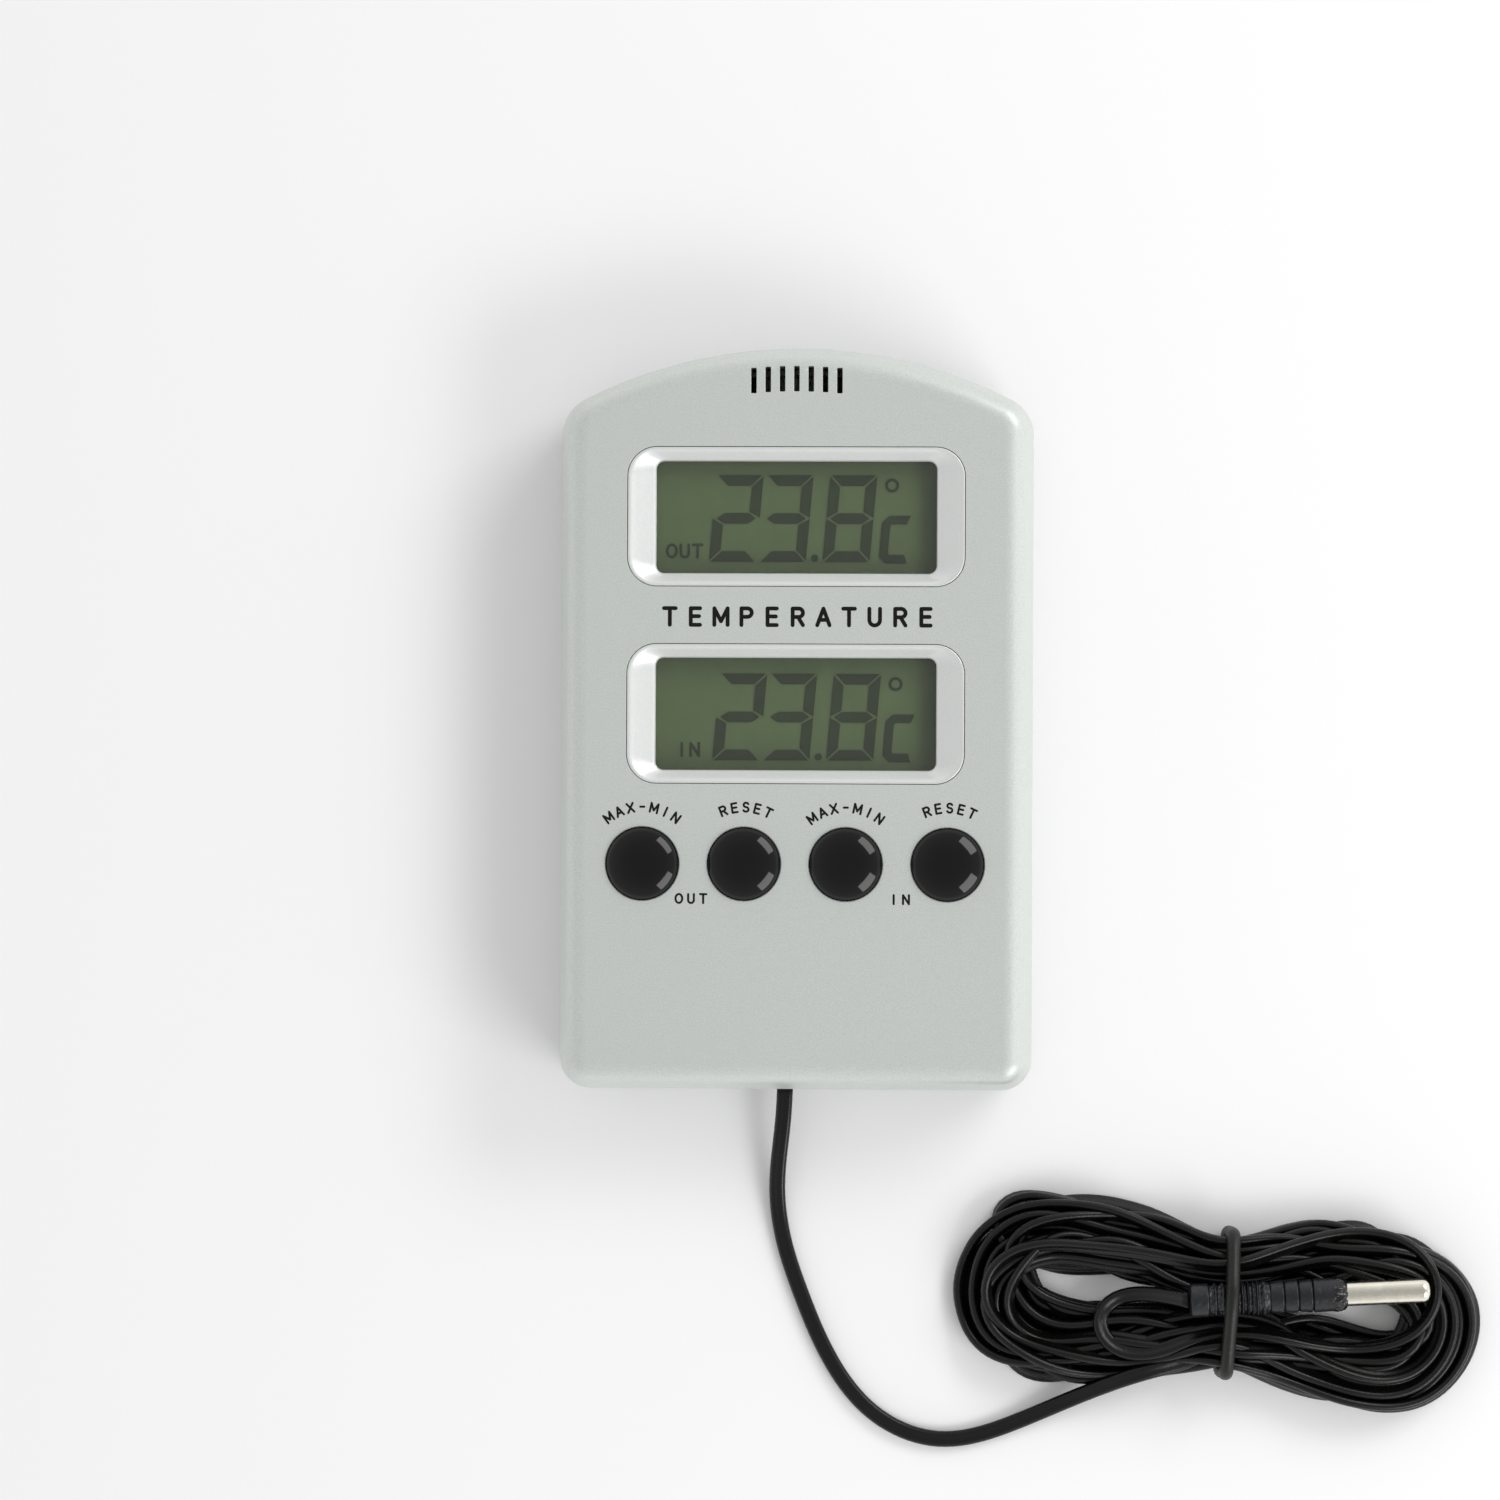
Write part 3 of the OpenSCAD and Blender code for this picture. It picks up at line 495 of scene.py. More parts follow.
def finish_normals(piece, angle=35):
    """Sharp edges where faces meet at more than angle, and flat faces kept flat beside rounds."""
    mesh = piece.data
    mesh.shade_smooth()
    mesh.set_sharp_from_angle(angle=math.radians(angle))
    m = piece.modifiers.new("normals", "WEIGHTED_NORMAL")
    m.keep_sharp = True
    m.weight = 100
    apply_modifiers(piece)


def flared(outline_at, edge=0.22, steps=4):
    """A cutter for a hole in the face with a rounded edge. outline_at(grow) is the hole's outline, grown."""
    rings = [ring(outline_at(0), CUT_Z)]
    for i in range(steps + 1):
        a = math.radians(90 * i / steps)
        rings.append(ring(outline_at(edge * (1 - math.cos(a))), CASE_T - edge + edge * math.sin(a)))
    rings.append(ring(outline_at(edge), CASE_T + 1))
    return loft(rings)


def moved(shape, x, y):
    """The mesh (points, faces), moved along the face."""
    points, faces = shape
    return [(p[0] + x, p[1] + y, p[2]) for p in points], faces


# ---------------------------------------------------------------- front case, bezels, buttons

upper_low, upper_high = corners("upper_bezel")
lower_low, lower_high = corners("lower_bezel")
BEZEL_W, BEZEL_H, BEZEL_R = upper_high[0] - upper_low[0], upper_high[1] - upper_low[1], 4.3
UPPER_Y = (upper_low[1] + upper_high[1]) / 2
LOWER_Y = (lower_low[1] + lower_high[1]) / 2
VIEW_W, VIEW_H = 41.2, 16.5
SEAT_GAP = 0.09
BUTTON_R, BUTTON_GAP, BUTTON_PITCH, BUTTON_Y = 5.2, 0.17, 14.9, -21.5
BUTTONS = ("out_maxmin", "out_reset", "in_maxmin", "in_reset")
VENT_COUNT, VENT_PITCH, VENT_W, VENT_LEN, VENT_TOP = 7, 2.1, 0.8, 3.75, 51.5


def button_x(i):
    return (i - 1.5) * BUTTON_PITCH


def bezel_seat(grow):
    w, h = BEZEL_W + 2 * SEAT_GAP, BEZEL_H + 2 * SEAT_GAP
    return rounded_rect(w + 2 * grow, h + 2 * grow, BEZEL_R + SEAT_GAP + grow)


def button_hole(grow):
    return circle(BUTTON_R + BUTTON_GAP + grow)


def vent_slot(grow):
    return rounded_rect(VENT_W + 2 * grow, VENT_LEN + 2 * grow, 0.12 + grow, 3)


def make_front():
    """The front case: leaning walls that ease into the flat face, and its holes."""
    sections = [(FACE_IN, WALL_INSET), (SPLIT_Z, WALL_INSET)]
    sections += [(SPLIT_Z, 0.18), (SPLIT_Z + 0.05, 0.06), (SPLIT_Z + 0.18, 0)]
    sections += [(z, inset) for inset, z in bezier(*FACE_EDGE, 18)]
    front = add_mesh("front_shell", *loft([ring(case_outline(inset), z) for z, inset in sections]))
    cutters = [moved(flared(bezel_seat, edge=0.05), 0, y) for y in (UPPER_Y, LOWER_Y)]
    cutters += [moved(flared(button_hole), button_x(i), BUTTON_Y) for i in range(len(BUTTONS))]
    for i in range(VENT_COUNT):
        x = (i - (VENT_COUNT - 1) / 2) * VENT_PITCH
        top = VENT_TOP - ARCH_R + math.sqrt(ARCH_R**2 - x**2)
        cutters.append(moved(flared(vent_slot, edge=0.1, steps=3), x, top - VENT_LEN / 2))
    join(front, merged(cutters), "DIFFERENCE")
    finish_normals(front)
    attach(front, "root")
    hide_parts("front_case")
    return front


def make_bezel(name, y):
    """A framed recess: outer wall, rounded rim, slope down to the window, and a rounded inner lip."""
    # Each section is the frame's size, corner radius and height
    w, h, r, z = BEZEL_W, BEZEL_H, BEZEL_R, upper_low[2]
    sections = [
        (VIEW_W, VIEW_H, 1.2, z), (w, h, r, z), (w, h, r, z + 2.62),
        (w - 0.05, h - 0.05, r - 0.02, z + 2.72), (w - 0.16, h - 0.16, r - 0.08, z + 2.78),
        (w - 0.36, h - 0.34, r - 0.17, z + 2.8), (w - 0.8, h - 0.66, r - 0.34, z + 2.76),
        (w - 1.5, h - 1.15, r - 0.6, z + 2.62), (w - 2.6, h - 1.7, r - 1, z + 2.3),
        (VIEW_W + 0.9, VIEW_H + 0.6, 1.8, z + 1.4), (VIEW_W + 0.45, VIEW_H + 0.34, 1.55, z + 1.3),
        (VIEW_W + 0.16, VIEW_H + 0.14, 1.35, z + 1.16), (VIEW_W, VIEW_H, 1.2, z + 0.9),
    ]
    rings = [ring(rounded_rect(wide, high, corner, 16), at, 0, y) for wide, high, corner, at in sections]
    bezel = add_mesh(name + "_frame", *loft(rings, closed=True))
    finish_normals(bezel, 50)
    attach(bezel, "root")
    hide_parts(name + "_bezel")
    return bezel


def make_window(name, y):
    """A clear plate with eased edges."""
    low, high = corners(name + "_window")
    w, h = high[0] - low[0], high[1] - low[1]
    sections = [(0.1, low[2]), (0, low[2] + 0.1), (0, high[2] - 0.1), (0.1, high[2])]
    rings = [ring(rounded_rect(w - 2 * ease, h - 2 * ease, 1.1 - ease, 6), z, 0, y) for ease, z in sections]
    window = add_mesh(name + "_pane", *loft(rings))
    finish_normals(window, 20)
    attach(window, "root")
    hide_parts(name + "_window")
    return window


def lathe(profile, count=96):
    """Rings of (r, z), turned about Z; the first and last radius may be nearly nothing."""
    return loft([ring(circle(max(r, 0.01), count), z) for r, z in profile])


def make_button(i):
    """A button: a flange inside the case, a straight side with a rounded edge, and a shallow dome."""
    flange_r, flange_low, flange_high = 6.2, 14.9, 16.1
    side_top, rise, edge = CASE_T + 0.4, 1.6, 0.2
    dome_r = (BUTTON_R**2 + rise**2) / (2 * rise)
    profile = [(0, flange_low), (flange_r, flange_low), (flange_r, flange_high)]
    profile += [(BUTTON_R, flange_high), (BUTTON_R, side_top - edge)]
    for k in range(1, 5):
        a = math.radians(62 * k / 4)
        profile.append((BUTTON_R - edge * (1 - math.cos(a)), side_top - edge + edge * math.sin(a)))
    start = profile[-1][0]
    for k in range(1, 25):
        r = start * (1 - k / 24)
        profile.append((r, side_top + rise - dome_r + math.sqrt(dome_r**2 - r * r)))
    button = add_mesh("dome_" + BUTTONS[i], *moved(lathe(profile), button_x(i), BUTTON_Y))
    finish_normals(button, 45)
    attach(button, "button_" + BUTTONS[i])
    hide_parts("button_" + BUTTONS[i])
    return button


# ---------------------------------------------------------------- lettering and displays

def bow(cx, cy, rx, ry, a, b, steps=14):
    """Points along a part of an ellipse, from angle a to b in degrees."""
    angles = [math.radians(a + (b - a) * i / steps) for i in range(steps + 1)]
    return [(cx + rx * math.cos(t), cy + ry * math.sin(t)) for t in angles]


def bowl():
    """The upper half of a P or an R."""
    return [(0, 1), (0.36, 1)] + bow(0.36, 0.745, 0.26, 0.255, 80, -80) + [(0.36, 0.49), (0, 0.49)]


# The pen's width, for a capital 1 high
PEN = 0.19
# Capitals drawn with a round pen, each 1 high: (width, strokes)
STROKES = {
    "A": (0.74, [[(0, 0), (0.37, 1)], [(0.37, 1), (0.74, 0)], [(0.13, 0.32), (0.61, 0.32)]]),
    "E": (0.56, [[(0, 0), (0, 1)], [(0, 1), (0.56, 1)], [(0, 0.52), (0.5, 0.52)], [(0, 0), (0.56, 0)]]),
    "I": (0, [[(0, 0), (0, 1)]]),
    "M": (0.8, [[(0, 0), (0, 1)], [(0, 1), (0.4, 0.22)], [(0.4, 0.22), (0.8, 1)], [(0.8, 1), (0.8, 0)]]),
    "N": (0.66, [[(0, 0), (0, 1)], [(0, 1), (0.66, 0)], [(0.66, 0), (0.66, 1)]]),
    "O": (0.76, [bow(0.38, 0.5, 0.38, 0.5, 0, 190), bow(0.38, 0.5, 0.38, 0.5, 180, 370)]),
    "P": (0.62, [[(0, 0), (0, 1)], bowl()]),
    "R": (0.62, [[(0, 0), (0, 1)], bowl(), [(0.32, 0.49), (0.62, 0)]]),
    "S": (0.58, [bow(0.29, 0.755, 0.27, 0.245, 25, 270) + bow(0.29, 0.255, 0.29, 0.255, 84, -155)]),
    "T": (0.7, [[(0, 1), (0.7, 1)], [(0.35, 1), (0.35, 0)]]),
    "U": (0.64, [[(0, 1), (0, 0.34)] + bow(0.32, 0.32, 0.32, 0.32, 184, 356) + [(0.64, 0.34), (0.64, 1)]]),
    "X": (0.7, [[(0, 0), (0.7, 1)], [(0, 1), (0.7, 0)]]),
    "-": (0.44, [[(0, 0.5), (0.44, 0.5)]]),
}


def ribbon(run, half):
    """The outline of a stroke with round ends."""
    p = np.array(run, float)
    along = unit(np.gradient(p, axis=0))
    headings = np.arctan2(along[:, 1], along[:, 0])
    left = [tuple(q + half * np.array([-math.sin(t), math.cos(t)])) for q, t in zip(p, headings)]
    right = [tuple(q + half * np.array([math.sin(t), -math.cos(t)])) for q, t in zip(p, headings)]
    start, end = math.degrees(headings[0]), math.degrees(headings[-1])
    return (right + bow(*p[-1], half, half, end - 75, end + 75, 8) + left[::-1]
            + bow(*p[0], half, half, start + 105, start + 255, 8))


def glyph(char, height, stroke):
    """One capital as a plate 1 thick, centred on its own width, with its foot at y = 0."""
    width, runs = STROKES[char]
    scale = height - stroke
    plates = []
    for run in runs:
        sized = [((x - width / 2) * scale, y * scale + stroke / 2) for x, y in run]
        plates.append(prism(ribbon(sized, stroke / 2), 0, 1))
    piece = add_mesh("glyph", *plates[0])
    for plate in plates[1:]:
        join(piece, plate, "UNION")
    points = [tuple(c / MM for c in v.co) for v in piece.data.vertices]
    faces = [tuple(f.vertices) for f in piece.data.polygons]
    bpy.data.objects.remove(piece)
    return points, faces


def letters(items, z, depth):
    """Capitals, each (character, height, x, y, turn in degrees), standing depth high on the plane z."""
    shapes, drawn = [], {}
    for char, height, x, y, angle in items:
        if (char, height) not in drawn:
            drawn[char, height] = glyph(char, height, height * PEN)
        points, faces = drawn[char, height]
        c, s = math.cos(math.radians(angle)), math.sin(math.radians(angle))
        placed = [(x + px * c - py * s, y + px * s + py * c, z + depth * pz) for px, py, pz in points]
        shapes.append((placed, faces))
    return merged(shapes)


def straight(word, height, x, y, pitch):
    """The word's letters in a row centred on x."""
    start = x - pitch * (len(word) - 1) / 2
    return [(c, height, start + pitch * i, y, 0) for i, c in enumerate(word)]


def arched(word, height, x, y, r, pitch, middle):
    """The word's letters on an arc round (x, y), pitch degrees apart, its middle turned by middle degrees."""
    found = []
    for i, c in enumerate(word):
        a = ((len(word) - 1) / 2 - i) * pitch + middle
        t = math.radians(a)
        found.append((c, height, x - r * math.sin(t), y + r * math.cos(t), a))
    return found


def make_legends():
    """The words printed on the face: a title, two legends over each pair of buttons, and the pair's name."""
    items = straight("TEMPERATURE", 3, 0.3, 13.2, 3.75)
    for i in range(len(BUTTONS)):
        word, pitch, middle = ("MAX-MIN", 12.1, 0) if i % 2 == 0 else ("RESET", 11.7, -2)
        items += arched(word, 1.62, button_x(i), BUTTON_Y, 7.5, pitch, middle)
    items += straight("OUT", 1.6, -15.15, -27.4, 1.78) + straight("IN", 1.6, 15.4, -27.4, 1.8)
    legends = add_mesh("legends", *letters(items, CASE_T - 0.005, 0.03), smooth=False)
    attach(legends, "root")
    return legends


# The display: its dark parts are placed along x from its middle, and up from the foot of the reading
PANEL_Z = 13.62
SEGMENT_RISE = 0.1
SEGMENTS = {"2": "abged", "3": "abgcd", "8": "abcdefg"}
READING = (("2", -12.95), ("3", -5.6), ("8", 3.8))
DIGIT_W, DIGIT_H, BAR_T = 6.95, 12.8, 1.6
DIGIT_SLANT = math.tan(math.radians(5))
UNIT_X, UNIT_W, UNIT_H, UNIT_T = 12.0, 4.2, 7.05, 1.3
DEGREE_AT, DEGREE_OUTER, DEGREE_INNER = (14.0, 11.3), 1.05, 0.6


def bar_outline(name, w, h, t):
    """The outline of one of a digit's seven bars, in a cell w wide and h high."""
    gap, m = 0.19, h / 2
    flat = {
        "a": [(gap, h), (w - gap, h), (w - gap - t, h - t), (gap + t, h - t)],
        "d": [(gap + t, t), (w - gap - t, t), (w - gap, 0), (gap, 0)],
        "g": [(0.36 * t, m), (t + 0.1, m + t / 2), (w - t - 0.1, m + t / 2), (w - 0.36 * t, m),
              (w - t - 0.1, m - t / 2), (t + 0.1, m - t / 2)],
        "f": [(0, m + gap / 3), (0, h - gap), (t, h - t - gap), (t, m + 0.6 * t)],
        "e": [(0, gap), (0, m - gap / 3), (t, m - 0.6 * t), (t, t + gap)],
    }
    mirror = {"b": "f", "c": "e"}
    if name in mirror:
        return [(w - x, y) for x, y in reversed(flat[mirror[name]])]
    return flat[name]


def prism(outline, z0, z1):
    """A plate between two heights, whichever way its outline runs."""
    area = sum(a[0] * b[1] - b[0] * a[1] for a, b in zip(outline, outline[1:] + outline[:1]))
    outline = outline if area > 0 else outline[::-1]
    return loft([ring(outline, z0), ring(outline, z1)])


def unit_outline():
    """The small C of the unit, with its outer corners cut off."""
    w, h, t = UNIT_W, UNIT_H, UNIT_T
    return [(w, h), (1, h), (0, h - 1), (0, 1), (1, 0), (w, 0), (w - 0.5, t), (t + 0.2, t), (t, t + 0.3),
            (t, h - t - 0.3), (t + 0.2, h - t), (w - 0.5, h - t)]


def degree_ring(x, y):
    outer, inner = circle(DEGREE_OUTER, 40), circle(DEGREE_INNER, 40)
    low, high = PANEL_Z, PANEL_Z + SEGMENT_RISE
    rings = ((outer, low), (outer, high), (inner, high), (inner, low))
    return loft([ring(outline, z, x, y) for outline, z in rings], closed=True)


def slanted(outline, x, y):
    """The outline, leaning as the digits do, with its own origin at (x, y)."""
    return [(x + px + DIGIT_SLANT * py, y + py) for px, py in outline]


def make_display(name, y, dx, dy, word):
    """The display: a green-grey panel with the reading's dark bars standing a little above it."""
    low, high = corners(name + "_lcd")
    outline = rounded_rect(high[0] - low[0], high[1] - low[1], 0.4, 3)
    rings = [ring(outline, z, 0, y) for z in (low[2], PANEL_Z)]
    panel = add_mesh(name + "_panel", *loft(rings), smooth=False)
    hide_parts(name + "_lcd")
    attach(panel, "root")
    x0, y0 = dx, y + dy - 6.45
    outlines = []
    for digit, left in READING:
        bars = [bar_outline(bar, DIGIT_W, DIGIT_H, BAR_T) for bar in SEGMENTS[digit]]
        outlines += [slanted(bar, x0 + left, y0) for bar in bars]
    outlines.append(slanted(unit_outline(), x0 + UNIT_X, y0 - 0.2))
    outlines.append([(x0 + 2.65 + px, y0 + 0.55 + py) for px, py in circle(0.55, 24)])
    shapes = [prism(one, PANEL_Z, PANEL_Z + SEGMENT_RISE) for one in outlines]
    shapes.append(degree_ring(x0 + DEGREE_AT[0], y0 + DEGREE_AT[1]))
    shapes.append(letters(straight(word, 2.25, x0 - 16.5, y0 + 0.45, 1.9), PANEL_Z, SEGMENT_RISE))
    reading = add_mesh(name + "_reading", *merged(shapes), smooth=False)
    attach(reading, "root")
    return panel, reading


# ---------------------------------------------------------------- sensor and tie

def along_sensor(profile, bumps=None, count=96):
    """A body turned about the sensor's axis from (distance along it, radius), with bumps(distance, angle)."""
    rings = []
    across = np.array([-SENSOR_AXIS[1], SENSOR_AXIS[0], 0])
    up = np.array([0, 0, 1])
    for s, r in profile:
        centre = SENSOR_START + SENSOR_AXIS * s
        one = []
        for i in range(count):
            a = 2 * math.pi * i / count
            radius = r + (bumps(s, a) if bumps and r > 0.1 else 0)
            one.append(tuple(centre + across * radius * math.cos(a) + up * radius * math.sin(a)))
        rings.append(one)
    return loft(rings)


# The sleeve's moulded ridges near the tie: (distance from its rear end, half width, height)
RIDGES = (
    (3.75, 0.25, 0.3), (4.9, 0.3, 0.34), (5.9, 0.25, 0.3), (6.8, 0.28, 0.4), (7.7, 0.2, 0.34),
    (8.5, 0.17, 0.46), (9.3, 0.2, 0.3), (9.9, 0.2, 0.46), (10.9, 0.42, 0.34),
)
RIB_START, RIB_PITCH, RIB_END = 11.75, 2.12, 18.11


def sleeve_radius(s):
    """The sleeve's radius: a plain rear end, wrinkled ridges, three broad ribs and a plain front."""
    if s < 2.9:
        return 2.5 - 0.35 * (max(0, 0.35 - s) / 0.35)**2 - 0.35 * (max(0, s - 2.55) / 0.35)**2
    if s < RIB_START:
        return 2.15 + sum(height * math.exp(-((s - at) / half)**2) for at, half, height in RIDGES)
    if s < RIB_END:
        phase = (s - RIB_START) / RIB_PITCH % 1
        groove = max(0, 1 - min(phase, 1 - phase) / 0.13)
        return 2.26 + 0.22 * phase - (0.24 + 0.14 * phase) * groove**2
    return 2.46 - 0.3 * max(0, 1 - (s - RIB_END) / 0.25)**2 - 0.2 * max(0, s - 21.2)


def wrinkles(s, a):
    rough = 0.05 * math.sin(7 * a + 2.1 * s) * math.sin(3 * a - 3.3 * s) + 0.03 * math.sin(13 * a + 5 * s)
    return rough * (1.2 if 3 < s < 11.6 else 0.2)


def glue_lumps(s, a):
    broad = 0.16 * math.sin(3 * a + 2 * s) * math.sin(5 * a + 1)
    return broad + 0.09 * math.sin(9 * a + 6 * s) + 0.05 * math.sin(17 * a + 11 * s)


def sleeve_profile(steps=420):
    profile = [(0, 0), (0, 1.9), (0.06, 2.2)]
    for i in range(steps + 1):
        s = 0.12 + (SLEEVE_LEN - 0.12) * i / steps
        profile.append((s, sleeve_radius(s)))
    return profile + [(SLEEVE_LEN, 0)]


def glue_profile():
    """The collar of adhesive that bulges out between the sleeve and the tip."""
    bulge = ((-1.6, 0), (-1.6, 2.2), (-1.2, 2.46), (-0.6, 2.5), (0, 2.36), (0.4, 2.12), (0.75, 1.9),
             (0.8, 1.2), (0.8, 0))
    return [(SLEEVE_LEN + s, r) for s, r in bulge]


def tip_profile():
    start, end, nose = SLEEVE_LEN + 0.5, SENSOR_LEN, 1.15
    profile = [(start, 0), (start, TIP_R - 0.02), (start + 0.9, TIP_R), (end - nose, TIP_R)]
    for i in range(1, 13):
        a = math.radians(90 * i / 12)
        profile.append((end - nose + nose * math.sin(a), TIP_R - nose * (1 - math.cos(a))))
    return profile + [(end, 0)]


def make_sensor():
    """The sensor's sleeve, adhesive collar and metal tip."""
    sleeve = add_mesh("sleeve", *along_sensor(sleeve_profile(), wrinkles))
    glue = add_mesh("glue", *along_sensor(glue_profile(), glue_lumps))
    tip = add_mesh("probe", *along_sensor(tip_profile()))
    stands_for = ((sleeve, "sensor_sleeve", "sleeve_black"), (glue, "sensor_collar", "glue_black"),
                  (tip, "sensor_tip", "tip_metal"))
    for piece, node, slot in stands_for:
        finish_normals(piece, 60)
        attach(piece, "root")
        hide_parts(node)
    return sleeve, glue, tip


def left_turn(a, b, c):
    """More than 0 where the way from a by b to c turns left."""
    return (b[0] - a[0]) * (c[1] - a[1]) - (b[1] - a[1]) * (c[0] - a[0])


def hull(points):
    """The convex outline of points in a plane, anticlockwise."""
    points = sorted(map(tuple, points))
    outline = []
    for way in (points, points[::-1]):
        half = []
        for p in way:
            while len(half) > 1 and left_turn(half[-2], half[-1], p) <= 0:
                half.pop()
            half.append(p)
        outline += half[:-1]
    return outline


def make_tie(line):
    """A round black tie, a closed loop pulled round the hank and the sensor, leaning a little."""
    strands = line[np.abs(line[:, 0] - TIE_X) < 1.6][:, 1:]
    sensor = SENSOR_START + SENSOR_AXIS * (TIE_X - SENSOR_START[0])
    discs = [(y, z, CORD_W / 2 - 0.2) for y, z in strands] + [(sensor[1], sensor[2], SLEEVE_R)]
    around = [(y + (r + TIE_R) * py, z + (r + TIE_R) * pz) for y, z, r in discs for py, pz in circle(1, 36)]
    loop = np.array(hull(around))
    loop[:, 1] = np.clip(loop[:, 1], TIE_R, TIE_TOP)
    loop[:, 0] = np.clip(loop[:, 0], TIE_Y - TIE_HALF, TIE_Y + TIE_HALF)
    mid_z = loop[:, 1].mean()
    x = TIE_X + TIE_LEAN * (loop[:, 0] - TIE_Y) + 0.25 * np.sign(loop[:, 1] - mid_z)
    closed = np.stack([x, loop[:, 0], loop[:, 1]], axis=1)
    closed = resample(np.vstack([closed, closed[:1]]), 0.4)[:-1]
    for _ in range(12):
        closed = 0.25 * np.roll(closed, 1, 0) + 0.5 * closed + 0.25 * np.roll(closed, -1, 0)
    closed[:, 2] = np.maximum(closed[:, 2], TIE_R)
    tangent = unit(np.roll(closed, -1, 0) - np.roll(closed, 1, 0))
    side = unit(np.cross(tangent, [1.0, 0, 0]))
    other = np.cross(tangent, side)
    rings = []
    for p, a, b in zip(closed, side, other):
        rings.append([tuple(p + px * a + py * b) for px, py in circle(TIE_R - 0.02, 18)])
    tie = add_mesh("tie", *loft(rings, closed=True))
    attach(tie, "root")
    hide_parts("hank_tie")
    return tie


# ---------------------------------------------------------------- materials

class Shader:
    """A material with one Principled shader, and the nodes that feed it."""

    def __init__(self, name, colour, roughness, metallic=0.0, **values):
        self.material = bpy.data.materials.new(name)
        self.material.use_nodes = True
        self.tree = self.material.node_tree
        self.bsdf = self.tree.nodes["Principled BSDF"]
        self.output = self.tree.nodes["Material Output"]
        self.colour = colour
        self.set("Base Color", (*colour, 1))
        self.set("Roughness", roughness)
        self.set("Metallic", metallic)
        for key, value in values.items():
            self.set(key.replace("_", " "), value)
        self.place = self.node("ShaderNodeTexCoord").outputs["Object"]

    def set(self, socket, value):
        self.bsdf.inputs[socket].default_value = value

    def node(self, kind, **values):
        node = self.tree.nodes.new(kind)
        for key, value in values.items():
            setattr(node, key, value)
        return node

    def link(self, a, b):
        self.tree.links.new(a, b)

    def noise(self, per_mm, detail=2, stretch=None):
        """A noise value with about per_mm lumps to the millimetre."""
        tex = self.node("ShaderNodeTexNoise")
        tex.inputs["Scale"].default_value = per_mm / MM
        tex.inputs["Detail"].default_value = detail
        source = self.place
        if stretch:
            scale = self.node("ShaderNodeMapping")
            scale.inputs["Scale"].default_value = stretch
            self.link(source, scale.inputs["Vector"])
            source = scale.outputs["Vector"]
        self.link(source, tex.inputs["Vector"])
        return tex.outputs["Fac"]

    def range(self, value, low, high, start=0.3, end=0.7):
        """value, from start to end, stretched to low to high."""
        node = self.node("ShaderNodeMapRange")
        node.inputs["From Min"].default_value = start
        node.inputs["From Max"].default_value = end
        node.inputs["To Min"].default_value = low
        node.inputs["To Max"].default_value = high
        self.link(value, node.inputs["Value"])
        return node.outputs["Result"]

    def shade(self, value, amount):
        """The base colour, darker and lighter by amount as value goes from 0.3 to 0.7."""
        mix = self.node("ShaderNodeMix", data_type="RGBA")
        mix.inputs[6].default_value = (*[c * (1 - amount) for c in self.colour], 1)
        mix.inputs[7].default_value = (*[min(1, c * (1 + amount)) for c in self.colour], 1)
        self.link(self.range(value, 0, 1), mix.inputs[0])
        self.link(mix.outputs[2], self.bsdf.inputs["Base Color"])

    def rough(self, value, low, high):
        self.link(self.range(value, low, high), self.bsdf.inputs["Roughness"])

    def bump(self, value, depth_mm, strength=1.0):
        node = self.node("ShaderNodeBump")
        node.inputs["Distance"].default_value = depth_mm * MM
        node.inputs["Strength"].default_value = strength
        self.link(value, node.inputs["Height"])
        previous = self.bsdf.inputs["Normal"].links
        if previous:
            self.link(previous[0].from_socket, node.inputs["Normal"])
        self.link(node.outputs["Normal"], self.bsdf.inputs["Normal"])


def silver_paint(name, colour, roughness, flake):
    """Metallic paint: fine flakes in the colour and the surface, and broad faint unevenness."""
    s = Shader(name, colour, roughness, 0.35, Specular_IOR_Level=0.4)
    s.shade(s.noise(5, 3), flake)
    s.rough(s.noise(2.2, 3), roughness - 0.05, roughness + 0.06)
    s.bump(s.noise(4, 3), 0.012)
    s.bump(s.noise(0.35, 2), 0.02)
    return s.material


def plastic(name, colour, roughness, grain=3, bump=0.01, variation=0.08, **values):
    s = Shader(name, colour, roughness, **values)
    s.shade(s.noise(grain / 3, 4), variation)
    s.rough(s.noise(grain, 3), max(0.03, roughness * 0.85), min(1, roughness * 1.2))
    if bump:
        s.bump(s.noise(grain, 3), bump)
    return s.material


def metal(name, colour, roughness, stretch=(1, 1, 1), bump=0.004):
    s = Shader(name, colour, roughness, 1.0)
    s.shade(s.noise(0.6, 3), 0.05)
    s.rough(s.noise(3, 3, stretch), roughness * 0.7, roughness * 1.4)
    s.bump(s.noise(3, 2, stretch), bump)
    return s.material


def clear_window(name):
    """Clear acrylic. Lamps reach what is behind it."""
    s = Shader(name, (0.97, 0.99, 0.97), 0.02, 0, Transmission_Weight=1.0, IOR=1.49)
    clear = s.node("ShaderNodeBsdfTransparent")
    rays = s.node("ShaderNodeLightPath")
    mix = s.node("ShaderNodeMixShader")
    s.link(rays.outputs["Is Shadow Ray"], mix.inputs["Fac"])
    s.link(s.bsdf.outputs["BSDF"], mix.inputs[1])
    s.link(clear.outputs["BSDF"], mix.inputs[2])
    s.link(mix.outputs["Shader"], s.output.inputs["Surface"])
    return s.material


